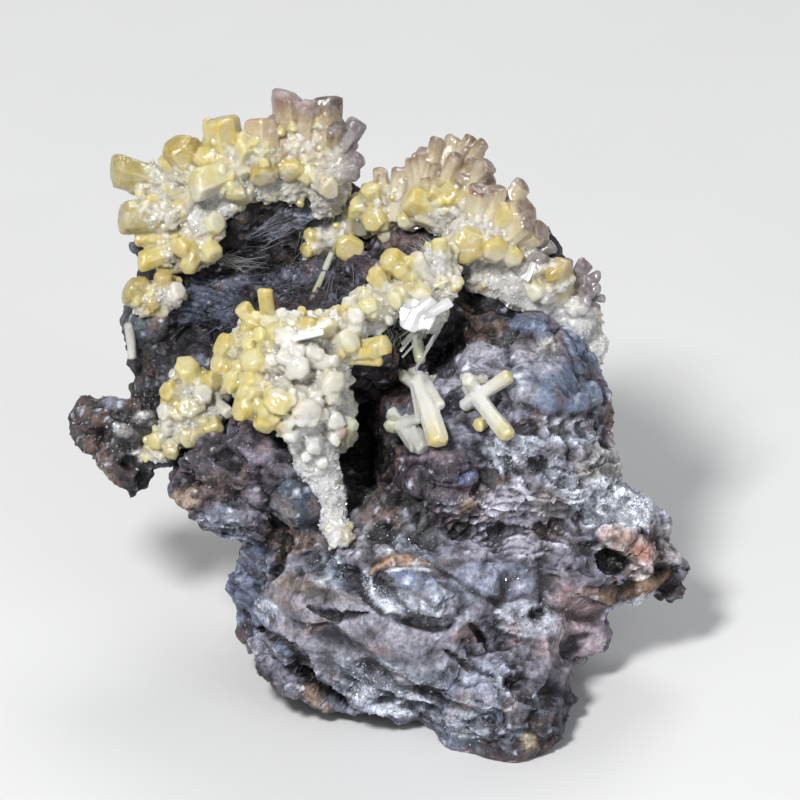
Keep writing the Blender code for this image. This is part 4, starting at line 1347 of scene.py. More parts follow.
@dataclass
class Matrix:
    """The rock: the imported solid's shape, with finer folds, breaks, nodules, cracks and stains.

    Attributes:
        voxel: the fine mesh's cell in millimetres, before thinning.
        most: its triangles.
        ground: height over which the relief fades to the flat foot.
    """

    voxel: float = 0.20
    most: int = 175000
    ground: float = 1.3
    body: Surface = field(init=False)
    surface: Surface = field(init=False)

    def relief(self, points: Array, normals: Array) -> Array:
        """How far each point of the rock stands out, in millimetres.

        Swells, rounded folds between narrow creases, tilted breaks, bedding steps and crumbs are
        added up. The breaks give way where the stone is calm or a polished nodule. The marks add
        their own domes, ridges and cracks on the front.

        Args:
            points: places in face axes.
            normals: normals in face axes.

        Returns:
            The height at each point.
        """
        front = fronted(normals, *RELIEF_FRONT)
        edge = fractal(points, 1.2, 97, octaves=2)
        calm = np.max([patch.cover(points, edge) for patch in CALM], axis=0) * front
        polished = [mark.cover(points, edge) for mark in MARKS if mark.gloss > 0.5]
        smooth = np.maximum(calm * 0.88, np.max(polished, axis=0) * front * 0.9)
        swells = 0.42 * fractal(points, 4.4, 5)
        folds = 0.9 * np.sqrt(np.abs(fractal(points, 3.0, 13, octaves=2)) + 0.002) - 0.5
        folds = folds * (1.0 - 0.72 * calm) * (1.0 - 0.5 * np.max(polished, axis=0) * front)
        breaks = 0.24 * Cells.around(points, 2.1, 11).facets()
        breaks += 0.15 * Cells.around(points, 0.85, 23).facets()
        bed = points @ np.array([0.28, 0.92, 0.27]) / 1.05 + 1.1 * fractal(points, 4.0, 47)
        stepped = eased(fractal(points, 6.5, 61, octaves=2), -0.3, 0.25)
        steps = 0.26 * ((bed - np.floor(bed)) ** 2 - 0.35) * stepped
        pits = -0.40 * eased(fractal(points, 1.6, 71, octaves=2), 0.45, 0.8)
        crumbs = 0.17 * fractal(points, 0.55, 89, octaves=2)
        rough = (breaks + steps + pits + crumbs) * (1.0 - smooth)
        forms = sum(mark.form(points, edge) for mark in MARKS if mark.rise)
        return swells + folds + rough + front * (forms + self.arcs(points) + self.fibres(points))

    def arcs(self, points: Array) -> Array:
        """Nested curved ledges below the purple block: a saw of the distance from a point below them."""
        distance = np.hypot(points[:, 0] - 8.4, (points[:, 1] + 16.5) * 1.1)
        saw = distance / 0.55 + 0.5 * fractal(points, 2.2, 103, octaves=2)
        field_of_arcs = Patch(8.4, -8.9, 4.6, 2.4, 4, "#000000").cover(points, fractal(points, 2.0, 107))
        return field_of_arcs * 0.17 * (1.0 - 2.0 * (saw - np.floor(saw)))

    def fibres(self, points: Array) -> Array:
        """Fine ridges that run down the upper hollow: a sine across them, bent by a noise."""
        across = points @ np.array([0.32, 0.94, 0.1]) / 0.42
        wave = np.sin(2.0 * math.pi * (across + 0.8 * fractal(points, 1.7, 109, octaves=2)))
        trough = Patch(-10.0, 9.6, 8.5, 3.6, 14, "#000000").cover(points, fractal(points, 2.0, 113))
        return 0.09 * wave * trough

    def shades(self, skin: Skin) -> tuple[Array, Array]:
        """Colour and polish of the rock: mottled stone under the marks, darkened in its hollows by painted
        shade and lightened on its crests by painted light.

        Args:
            skin: the finished shape.

        Returns:
            A linear colour and a gloss for each vertex.
        """
        places = FACE.to_face(skin.points)
        facing = FACE.turned(skin.normals())
        broad, fine = fractal(places, 6.0, 211), fractal(places, 1.3, 223)
        shade = blended(linear("#3f353a"), linear("#242127"), eased(broad, -0.3, 0.3))
        shade = blended(shade, linear("#5d6372"), 0.65 * eased(fine, 0.05, 0.45))
        shade = blended(shade, linear("#55392f"), 0.65 * eased(fractal(places, 2.6, 229), 0.30, 0.65))
        gloss = 0.25 + 0.2 * fractal(places, 2.0, 241)
        front = fronted(facing, *PAINT_FRONT)
        edge = fractal(places, 1.1, 251)
        for mark in ALL_MARKS:
            cover = mark.cover(places, edge) * front * mark.share
            shade = blended(shade, linear(mark.colour), cover)
            gloss = gloss * (1.0 - cover) + mark.gloss * cover
        grey = (shade @ np.array([0.21, 0.72, 0.07]))[:, None] * np.array([0.96, 0.98, 1.12])
        shade = blended(shade, grey, np.full(len(places), 0.26))
        shade = blended(shade, linear("#6e5446"), 0.40 * eased(fractal(places, 1.7, 271), 0.24, 0.6))
        frost = fractal(places, 0.45, 233) + 0.16 * sparkling(places, front)
        shade = blended(shade, linear("#bcc1cd"), 0.75 * eased(frost, 0.44, 0.80))
        grain = 1.0 + 0.34 * fractal(places, 0.55, 263)
        # Painted shade: the colour is darkened where the skin lies hollow. Painted light: it is lightened on
        # the crests.
        deep = eased(skin.hollowness(5), 0.0, 0.09) + eased(skin.hollowness(24), 0.03, 0.45)
        crest = eased(-skin.hollowness(5), 0.02, 0.11)
        shade = shade * (grain * (1.0 - 0.50 * np.clip(deep, 0.0, 1.6)) * (1.0 + 0.75 * crest))[:, None]
        return shade, gloss

    def build(self, node: bpy.types.Object) -> bpy.types.Object:
        """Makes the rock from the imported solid.

        Args:
            node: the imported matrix, which the rock replaces.

        Returns:
            The piece.
        """
        skin = remeshed(Skin.read(node.data).merged(), self.voxel, 7)
        self.body = Surface(skin)
        normals = skin.normals()
        risen = eased(skin.points[:, 2], 0.05, self.ground)
        height = self.relief(FACE.to_face(skin.points), FACE.turned(normals)) * risen
        skin.points = skin.points + normals * height[:, None]
        skin.points[:, 2] = np.maximum(skin.points[:, 2], 0.0)
        skin = thinned(skin, self.most)
        skin.shade, skin.gloss = self.shades(skin)
        self.surface = Surface(skin)
        obj = piece(skin, "matrix_rock", RockFinish().material(), 38)
        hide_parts("matrix")
        return obj


@dataclass(frozen=True)
class Grains:
    """Bright grains on the rock, thickest where the marks sparkle.

    Attributes:
        name: the piece.
        count: how many.
        least: the smallest grain's radius in millimetres.
        growth: how much larger the largest is.
        colour: display colour.
        passing: how clear they are.
        thin: how thickly they lie away from the sparkling marks.
        power: how strongly they gather where the marks sparkle most.
        seed: which chance.
    """

    name: str
    count: int
    least: float
    growth: float
    colour: str
    passing: float
    thin: float
    power: float
    seed: int

    def weight(self, places: Array, facing: Array) -> Array:
        """How thickly they lie: the marks' sparkle on the front to a power, times a clumping noise."""
        sparkle = sparkling(places, fronted(facing, *PAINT_FRONT))
        clumps = 0.15 + eased(fractal(places, 1.0, self.seed), 0.0, 0.45)
        return (self.thin + sparkle**self.power) * clumps * (FACE.to_row(places)[:, 2] > 0.4)

    def build(self, rock: Matrix) -> bpy.types.Object:
        """Makes the grains on the rock."""
        rng = np.random.default_rng(self.seed)
        places, normals = rock.surface.scattered(self.count, rng, self.weight)
        sizes = self.least + self.growth * rng.random(self.count) ** 3
        skin = shards(places, normals, sizes, rng, self.colour)
        finish = ClearFinish(f"{self.name}_finish", ior=1.9, passing=self.passing).material()
        return piece(skin, self.name, finish, None)


ROCK_GRAINS = (
    Grains("matrix_glitter", 8000, 0.026, 0.070, "#9aa0ae", 0.30, 0.03, 1.0, 307),
    Grains("matrix_frost", 6000, 0.040, 0.080, "#e6eaf2", 0.40, 0.0, 1.6, 331),
)


@dataclass(frozen=True)
class Tuft:
    """A spray of hairs that lies over the rock.

    Attributes:
        u: its root across the face.
        v: its root up the face.
        heading: degrees in the face that it points to.
        spread: degrees that its hairs fan out by.
        count: how many hairs.
        length: the longest in millimetres.
        width: how far the roots are scattered.
        colour: display colour.
        lift: how high the hairs arch, as a share of their length.
    """

    u: float
    v: float
    heading: float
    spread: float
    count: int
    length: float
    width: float = 0.4
    colour: str = "#c9c8c0"
    lift: float = 0.12


@dataclass(frozen=True)
class Hairs:
    """The fine, pale mineral hairs that lie in sprays on the rock.

    Attributes:
        thick: a hair's radius in millimetres.
        rings: rings along a hair.
        around: vertices in a ring.
        seed: which chance.
    """

    thick: float = 0.026
    rings: int = 6
    around: int = 4
    seed: int = 611

    def ends(self, tuft: Tuft, ground: Surface, rng: Chance) -> tuple[Array, Array]:
        """Where each hair of a tuft starts and stops on the ground, in row millimetres."""
        turn = np.radians(tuft.heading + tuft.spread * rng.uniform(-1.0, 1.0, tuft.count))
        reach = tuft.length * rng.uniform(0.45, 1.0, tuft.count)
        root = np.array([tuft.u, tuft.v]) + rng.normal(0.0, tuft.width, (tuft.count, 2))
        tip = root + np.stack([np.cos(turn), np.sin(turn)], axis=-1) * reach[:, None]
        seated = [[ground.seat(u, v)[0] for u, v in ends] for ends in (root, tip)]
        return np.array(seated[0]), np.array(seated[1])

    def skin(self, tuft: Tuft, ground: Surface, rng: Chance) -> Skin:
        """A tuft's hairs: thin tubes along arcs, each a curve of the second degree from root to tip."""
        start, end = self.ends(tuft, ground, rng)
        long = np.linalg.norm(end - start, axis=1, keepdims=True)
        top = (start + end) / 2.0 + OUTWARD * (tuft.lift * long * 2.0)
        top = top + rng.normal(0.0, 0.10, start.shape) * long
        share = np.linspace(0.0, 1.0, self.rings)[None, :, None]
        rising = start[:, None] * (1 - share) ** 2 + 2 * top[:, None] * share * (1 - share)
        middle = rising + end[:, None] * share**2
        side = unit(np.cross(end - start, OUTWARD))
        other = unit(np.cross(end - start, side))
        turn = np.arange(self.around) * 2.0 * math.pi / self.around
        ring = np.cos(turn)[:, None] * side[:, None] + np.sin(turn)[:, None] * other[:, None]
        thick = self.thick * (1.0 - 0.6 * share[..., None])
        grid = (middle[:, :, None] + ring[:, None] * thick).reshape(len(start), -1, 3)
        points = np.concatenate([grid, middle[:, [0, -1]]], axis=1)
        triangles = repeated(tube_triangles(self.rings, self.around), len(start), points.shape[1])
        shade = linear(tuft.colour)[None, None] * rng.uniform(0.7, 1.0, (len(start), points.shape[1], 1))
        return Skin(points.reshape(-1, 3), triangles, shade.reshape(-1, 3))

    def build(self, ground: Surface) -> bpy.types.Object:
        """Makes all the hairs as one piece."""
        rng = np.random.default_rng(self.seed)
        skin = Skin.joined([self.skin(tuft, ground, rng) for tuft in TUFTS])
        finish = ClearFinish("hair_finish", ior=1.6, passing=0.25, roughness=0.25).material()
        return piece(skin, "matrix_hairs", finish, 60)


TUFTS = (
    Tuft(-13.4, 10.8, -12, 30, 26, 3.2, 0.35),
    Tuft(-12.6, 9.6, 12, 16, 16, 3.0, 0.5, "#a8adb8"),
    Tuft(-10.6, 12.4, 28, 14, 46, 3.4, 0.35, "#b4b8c4"),
    Tuft(-6.4, 12.8, 250, 26, 16, 2.8, 0.4),
    Tuft(-4.8, 9.6, 262, 24, 8, 2.2, 0.5, "#a8adb8"),
    Tuft(-5.2, 13.0, 40, 40, 40, 1.8, 0.5, "#dcdad0"),
    Tuft(-9.0, 8.4, 10, 24, 30, 2.2, 1.2, "#8f95a4"),
    Tuft(-13.8, 6.6, 24, 20, 30, 1.8, 1.0, "#8f95a4"),
    Tuft(-0.6, 5.6, 262, 46, 60, 1.7, 0.7, "#d4d2c8"),
    Tuft(2.9, 10.4, 170, 46, 150, 2.3, 0.35, "#f2f0ea", 0.25),
    Tuft(3.4, 9.8, 330, 40, 70, 1.5, 0.4, "#e8e6e0", 0.25),
    Tuft(6.2, 9.0, 10, 60, 50, 1.6, 0.7, "#c8c0b4"),
    Tuft(5.8, 1.8, 200, 40, 40, 1.9, 0.7, "#a6a8b0"),
)


# The clusters


@dataclass(frozen=True)
class Spray:
    """Crystals that fan out from one root.

    Attributes:
        tone: their colours.
        u: the root across the face.
        v: the root up the face.
        heading: degrees in the face that the middle one points to.
        spread: degrees from the middle one to the outer ones.
        count: how many.
        length: the middle one's length.
        radius: their mean radius.
        rise: least and most degrees out of the face.
        foot: how far apart the outer roots are.
    """

    tone: Tone
    u: float
    v: float
    heading: float
    spread: float
    count: int
    length: float
    radius: float
    rise: Pair = (0.0, 20.0)
    foot: float = 0.8

    def rows(self, rng: Chance) -> Array:
        """The crystals as (u, v, heading, rise, length, radius), with roots spread across the heading."""
        share = np.linspace(-1.0, 1.0, self.count)
        across = math.radians(self.heading + 90.0)
        jitter = rng.uniform(-1.0, 1.0, (self.count, 3))
        step = self.foot * share / 2.0
        return np.stack([
            self.u + step * math.cos(across),
            self.v + step * math.sin(across),
            self.heading + self.spread * (share + 0.12 * jitter[:, 0]),
            rng.uniform(*self.rise, self.count),
            self.length * (1.0 - 0.16 * share**2 + 0.10 * jitter[:, 1]),
            self.radius * (1.0 + 0.18 * jitter[:, 2]),
        ], axis=-1)


# How much a bed's lumps are enlarged, and how far they are lifted, as shares of their radii
LUMP_GROWTH = 1.12
LUMP_LIFT = 0.30
# Cell in millimetres and smoothing of the bed and of the crust
BED_MESH = (0.20, 3)
CRUST_MESH = (0.16, 2)
# What the buds' colours are drawn from
BUD_TONES = (Tone.HONEY, Tone.LEMON, Tone.LEMON, Tone.MILK, Tone.MILK)
BUD_HABIT = Habit(around=12, rings=3, depth=0.35, uneven=0.2, grain=0.03)
BLADE_HABIT = Habit(around=12, rings=3, depth=0.3, uneven=0.3, round_off=0.0, grain=0.0, flat=0.10)


@dataclass
class Cluster:
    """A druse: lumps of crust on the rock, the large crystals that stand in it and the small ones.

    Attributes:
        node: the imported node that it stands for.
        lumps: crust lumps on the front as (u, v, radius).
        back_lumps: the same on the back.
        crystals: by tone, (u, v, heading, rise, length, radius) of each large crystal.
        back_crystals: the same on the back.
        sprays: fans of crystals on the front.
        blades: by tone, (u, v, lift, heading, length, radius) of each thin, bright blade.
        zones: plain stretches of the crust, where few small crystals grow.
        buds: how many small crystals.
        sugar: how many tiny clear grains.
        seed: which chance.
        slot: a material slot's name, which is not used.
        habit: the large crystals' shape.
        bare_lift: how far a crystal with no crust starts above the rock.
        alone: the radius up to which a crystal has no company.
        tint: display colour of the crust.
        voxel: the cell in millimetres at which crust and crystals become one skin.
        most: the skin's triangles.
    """

    node: str
    lumps: tuple[Row, ...] = ()
    back_lumps: tuple[Row, ...] = ()
    crystals: dict[Tone, tuple[Row, ...]] = field(default_factory=dict)
    back_crystals: dict[Tone, tuple[Row, ...]] = field(default_factory=dict)
    sprays: tuple[Spray, ...] = ()
    blades: dict[Tone, tuple[Row, ...]] = field(default_factory=dict)
    zones: tuple[Patch, ...] = ()
    buds: int = 0
    sugar: int = 0
    seed: int = 1
    slot: str = "yellow_mimetite"
    habit: Habit = Habit()
    bare_lift: float = 0.7
    alone: float = 0.55
    tint: str = "#efead8"
    voxel: float = 0.10
    most: int = 140000

    def plain(self, places: Array) -> Array:
        """How plain the crust is at each place: 1 in a zone, 0 away from them."""
        edge = fractal(places, 1.1, self.seed + 3)
        covers = [zone.cover(places, edge) for zone in self.zones]
        return np.max(covers, axis=0) if covers else np.zeros(len(places))

    def bed(self, body: Surface) -> Skin | None:
        """The lumps as one smooth skin, or none where the cluster has no lumps.

        Args:
            body: the rock's smooth shape, in which they are sunk.

        Returns:
            The skin.
        """
        seats = [(*body.seat(u, v), r) for u, v, r in self.lumps]
        seats += [(*body.seat(u, v, Side.BACK), r) for u, v, r in self.back_lumps]
        if not seats:
            return None
        radii = np.array([r for *_, r in seats]) * LUMP_GROWTH
        centres = np.array([place for place, *_ in seats])
        centres += np.array([normal for _, normal, _ in seats]) * (radii * LUMP_LIFT)[:, None]
        return remeshed(spheres(centres, radii), *BED_MESH)

    def crust(self, bed: Skin, large: Crystals) -> Skin:
        """The crust: the bed and a ball round each large crystal's foot, broken into tilted faces.

        In the zones its faces are fine and low, as on packed snow.

        Args:
            bed: the lumps.
            large: the large crystals.

        Returns:
            The coloured skin.
        """
        feet = [
            spheres(
                (large.roots + large.axes * (large.lengths * share)[:, None])[large.radii > least],
                large.radii[large.radii > least] * size,
            )
            for share, size, least in ((0.12, 1.12, self.alone), (0.42, 0.92, 0.95))
        ]
        skin = remeshed(Skin.joined([bed, *feet]), *CRUST_MESH)
        places = FACE.to_face(skin.points)
        plain = self.plain(places)
        coarse, fine = Cells.around(places, 0.95, self.seed), Cells.around(places, 0.42, self.seed + 40)
        broken = 0.30 * fractal(places, 1.9, self.seed + 5) + 0.34 * coarse.facets() + 0.24 * fine.facets()
        broken -= 0.12 * (1.0 - eased(coarse.second - coarse.nearest, 0.0, 0.2))
        packed = 0.20 * fractal(places, 1.5, self.seed + 6) + 0.20 * fine.facets()
        skin.points = skin.points + skin.normals() * (broken * (1.0 - plain) + packed * plain)[:, None]
        stain = fractal(places, 1.4, self.seed + 9) + 0.5 * coarse.tag[:, 0]
        skin.shade = blended(linear(self.tint), linear("#e6d596"), 0.7 * eased(stain, 0.3, 0.9))
        skin.shade = blended(skin.shade, linear("#cbc7cc"), 0.5 * eased(fine.tag[:, 1], 0.6, 0.95))
        skin.gloss = 0.0
        return skin

    def coloured(self, skin: Skin) -> Skin:
        """The finished skin with the crystals' colours run into the crust, then zones and painted shade in
        hollows.

        The colours run by taking neighbours' means over the skin. They run most where it is crust.

        Args:
            skin: crust and crystals as one.

        Returns:
            The same skin.
        """
        run = np.stack([skin.averaged(skin.shade[:, k], 30) for k in range(3)], axis=-1)
        skin.shade = blended(skin.shade, run, 0.25 + 0.5 * (1.0 - skin.gloss))
        places = FACE.to_face(skin.points)
        edge = fractal(places, 1.1, self.seed + 3)
        for zone in self.zones:
            cover = zone.cover(places, edge) * zone.share * (1.0 - 0.32 * skin.gloss)
            skin.shade = blended(skin.shade, linear(zone.colour), cover)
        # Painted shade: a warm darkening where the skin lies hollow.
        hollow_shade = 0.8 * eased(skin.hollowness(6), 0.01, 0.12)
        skin.shade = blended(skin.shade, skin.shade * linear("#c0a68c"), hollow_shade)
        return skin

    def large(self, body: Surface, bed: Surface | None, rng: Chance) -> Crystals:
        """The large crystals at their seats, each with shorter ones grown along its side."""
        rows, colours, roots = [], [], []
        fans = {Side.FRONT: self.sprays, Side.BACK: ()}
        for side, table in ((Side.FRONT, self.crystals), (Side.BACK, self.back_crystals)):
            outward = 1.0 if side is Side.FRONT else -1.0
            found = [(tone, row) for tone, listed in table.items() for row in listed]
            found += [(spray.tone, row) for spray in fans[side] for row in spray.rows(rng)]
            for tone, (u, v, *sizes) in found:
                met = [surface.seat(u, v, side)[0] for surface in (body, bed) if surface]
                roots.append(max(met, key=lambda place: outward * FACE.to_face(place)[2]))
                rows.append(sizes)
                colours.append(tone.colours())
        heading, rise, length, radius = np.array(rows).T
        roots = np.array(roots)
        if bed is None:
            roots = roots + OUTWARD * self.bare_lift
        main = Crystals(roots, FACE.direction(heading, rise), length, radius, np.array(colours))
        return Crystals.stacked([main, self.beside(main, rng)])

    def beside(self, main: Crystals, rng: Chance) -> Crystals:
        """Shorter crystals that grow along the sides of the stout ones, two to each.

        Args:
            main: the large crystals.
            rng: the source of chance.

        Returns:
            The shorter crystals.
        """
        pick = np.repeat(np.flatnonzero(main.radii > self.alone), 2)
        count = len(pick)
        sideways = unit(np.cross(main.axes[pick], rng.normal(size=(count, 3))))
        return Crystals(
            main.roots[pick] + sideways * (main.radii[pick] * rng.uniform(0.45, 0.80, count))[:, None],
            jittered(main.axes[pick], 0.10, rng),
            main.lengths[pick] * rng.uniform(0.50, 0.92, count),
            main.radii[pick] * rng.uniform(0.45, 0.72, count),
            main.colours[pick],
        )

    def small(self, ground: Surface, rng: Chance) -> Crystals:
        """The small crystals that crowd on the crust, leaning out of it."""

        def weight(places: Array, facing: Array) -> Array:
            """More on the front, and few in the zones."""
            return (0.25 + np.clip(facing[:, 2], 0, 1)) * (1.02 - self.plain(places))

        places, normals = ground.scattered(self.buds, rng, weight)
        tones = np.array([tone.colours() for tone in BUD_TONES])
        radii = 0.16 + 0.34 * rng.random(self.buds) ** 2.2
        return Crystals(
            places,
            jittered(normals, 0.6, rng),
            radii * rng.uniform(0.5, 1.8, self.buds),
            radii,
            tones[rng.integers(0, len(tones), self.buds)],
        )

    def build(self, rock: Matrix) -> list[bpy.types.Object]:
        """Makes the cluster's pieces.

        Args:
            rock: the matrix that it sits on.

        Returns:
            The pieces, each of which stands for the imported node.
        """
        rng = np.random.default_rng(self.seed)
        bed = self.bed(rock.body)
        large = self.large(rock.body, None if bed is None else Surface(bed), rng)
        parts = [large.skin(self.habit, rng)]
        made = []
        if bed is not None:
            crust = self.crust(bed, large)
            ground = Surface(crust)
            parts += [crust, self.small(ground, rng).skin(BUD_HABIT, rng)]
            made.append(self.grains(ground, rng))
        if self.blades:
            made.append(self.leaves(rock.body if bed is None else ground, rng))
        shells = Skin.joined(parts)
        skin = thinned(remeshed(shells, self.voxel, 1), self.most)
        skin = self.coloured(painted(skin, shells))
        finish = DruseFinish(f"{self.node}_finish").material()
        made.append(piece(skin, f"{self.node}_druse", finish, 42))
        for obj in made:
            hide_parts(self.node)
        return made

    def grains(self, ground: Surface, rng: Chance) -> bpy.types.Object:
        """The sugar of tiny clear grains, thickest in the zones."""

        def weight(places: Array, facing: Array) -> Array:
            """A few everywhere, more in the zones and most on the front."""
            return (0.35 + self.plain(places)) * (0.3 + np.clip(facing[:, 2], 0.0, 1.0))

        places, normals = ground.scattered(self.sugar, rng, weight)
        sizes = 0.05 + 0.12 * rng.random(self.sugar) ** 2
        finish = ClearFinish(f"{self.node}_grain_finish", passing=0.35).material()
        skin = shards(places, normals, sizes, rng, "#fbfaf4")
        return piece(skin, f"{self.node}_grains", finish, None)

    def leaves(self, ground: Surface, rng: Chance) -> bpy.types.Object:
        """The thin blades and plates. The snow-white ones throw the light back: they lie across GLINT."""
        found = [(tone, row) for tone, listed in self.blades.items() for row in listed]
        u, v, lift, heading, length, radius = np.array([row for _, row in found]).T
        loose = FACE.direction(heading, rng.uniform(5.0, 40.0, len(found)))
        bright = unit(loose - (loose @ GLINT)[:, None] * GLINT)
        axes = np.where([[tone is Tone.SNOW] for tone, _ in found], bright, loose)
        roots = np.array([ground.seat(a, b)[0] for a, b in zip(u, v)]) + OUTWARD * lift[:, None]
        colours = np.array([tone.colours() for tone, _ in found])
        skin = Crystals(roots, axes, length, radius, colours).skin(BLADE_HABIT, rng)
        finish = ClearFinish(f"{self.node}_blade_finish", passing=0.6, roughness=0.10).material()
        return piece(skin, f"{self.node}_blades", finish, 30)


LEFT_CREST = Cluster(
    "left_crest_cluster",
    lumps=(
        (-17.4, 15.8, 1.6), (-16.6, 14.2, 1.6), (-16.8, 12.6, 1.4), (-16.4, 11.0, 1.3), (-15.2, 11.6, 1.6),
        (-14.6, 13.4, 1.6), (-15.4, 16.4, 1.9), (-13.4, 17.4, 1.9), (-13.2, 15.8, 1.5), (-11.4, 17.4, 1.9),
        (-10.6, 16.2, 1.5), (-9.4, 17.8, 1.9), (-8.2, 16.4, 1.6), (-7.4, 18.2, 1.9), (-5.8, 18.0, 1.9),
        (-5.4, 16.4, 1.6), (-5.6, 15.2, 1.2), (-15.6, 12.9, 1.2), (-12.6, 14.8, 0.9),
    ),
    back_lumps=(
        (-15.2, 16.2, 0.8), (-13.9, 16.7, 1.2), (-12.7, 17.1, 0.9), (-11.7, 17.1, 1.2), (-10.5, 17.4, 1.3),
        (-9.4, 17.8, 1.0), (-8.4, 17.5, 1.2), (-7.2, 17.6, 1.2), (-6.1, 17.3, 0.8),
    ),
    crystals={
        Tone.HONEY: (
            (-17.6, 12.2, 176, 15, 2.5, 0.80), (-17.3, 11.2, 202, 15, 2.7, 0.92),
            (-17.0, 10.0, 190, 20, 1.4, 0.55), (-13.1, 18.0, 98, 25, 3.6, 1.50),
            (-8.6, 18.0, 300, 55, 1.9, 1.00),
            (-14.1, 17.6, 120, 60, 2.0, 1.05), (-16.0, 15.2, 230, 45, 1.9, 0.80),
            (-15.8, 12.0, 215, 50, 1.8, 0.90), (-15.4, 11.0, 240, 40, 1.7, 0.85),
            (-5.6, 16.4, 300, 60, 1.5, 0.90),
        ),
        Tone.AMBER: ((-15.2, 17.0, 128, 20, 3.4, 1.35), (-10.2, 17.6, 260, 60, 1.9, 1.05)),
        Tone.OLIVE: (
            (-17.2, 16.0, 162, 15, 5.0, 1.55), (-17.5, 14.2, 188, 24, 3.9, 1.35),
            (-18.0, 13.5, 185, 15, 1.8, 0.70),
        ),
        Tone.LEMON: (
            (-12.9, 17.0, 204, 30, 3.4, 1.30), (-12.0, 18.0, 68, 45, 2.4, 0.95),
            (-12.6, 16.4, 290, 40, 1.6, 0.75), (-16.4, 16.8, 132, 20, 2.3, 0.80),
            (-14.4, 13.1, 20, 60, 1.6, 0.90), (-14.6, 11.8, 300, 45, 1.8, 0.85),
            (-7.1, 17.6, 280, 60, 1.7, 0.85),
            (-11.6, 16.0, 250, 45, 1.4, 0.70), (-10.9, 18.2, 60, 50, 1.8, 0.80),
        ),
        Tone.ROSE: ((-10.3, 18.2, 94, 20, 3.2, 1.40), (-9.2, 18.4, 80, 40, 2.2, 0.90)),
        Tone.PLUM: ((-8.2, 18.6, 94, 12, 4.8, 1.35), (-7.5, 18.8, 80, 25, 3.8, 0.85)),
        Tone.BROWN: ((-6.2, 18.6, 82, 10, 4.4, 1.45), (-5.6, 18.4, 70, 30, 3.0, 0.80)),
        Tone.SMOKE: (
            (-5.2, 18.0, 56, 5, 3.8, 0.90), (-5.0, 17.4, 22, 20, 2.5, 0.80),
            (-4.8, 16.8, 10, 30, 1.9, 0.60),
        ),
    },
    back_crystals={
        Tone.BROWN: ((-13.2, 17.0, 108, -15, 1.5, 0.90), (-7.0, 17.4, 68, -15, 1.4, 0.85)),
        Tone.HONEY: ((-9.6, 17.4, 84, -18, 1.6, 0.95),),
    },
    zones=(
        Patch(-14.6, 14.3, 1.8, 1.8, 0, "#f8f8f4", 0.92),
        Patch(-10.2, 16.2, 2.6, 0.9, 20, "#f4f0e4", 0.8),
        Patch(-5.2, 16.0, 1.3, 1.9, 0, "#ddd4d0", 0.9),
    ),
    buds=150,
    sugar=2600,
    seed=11,
)

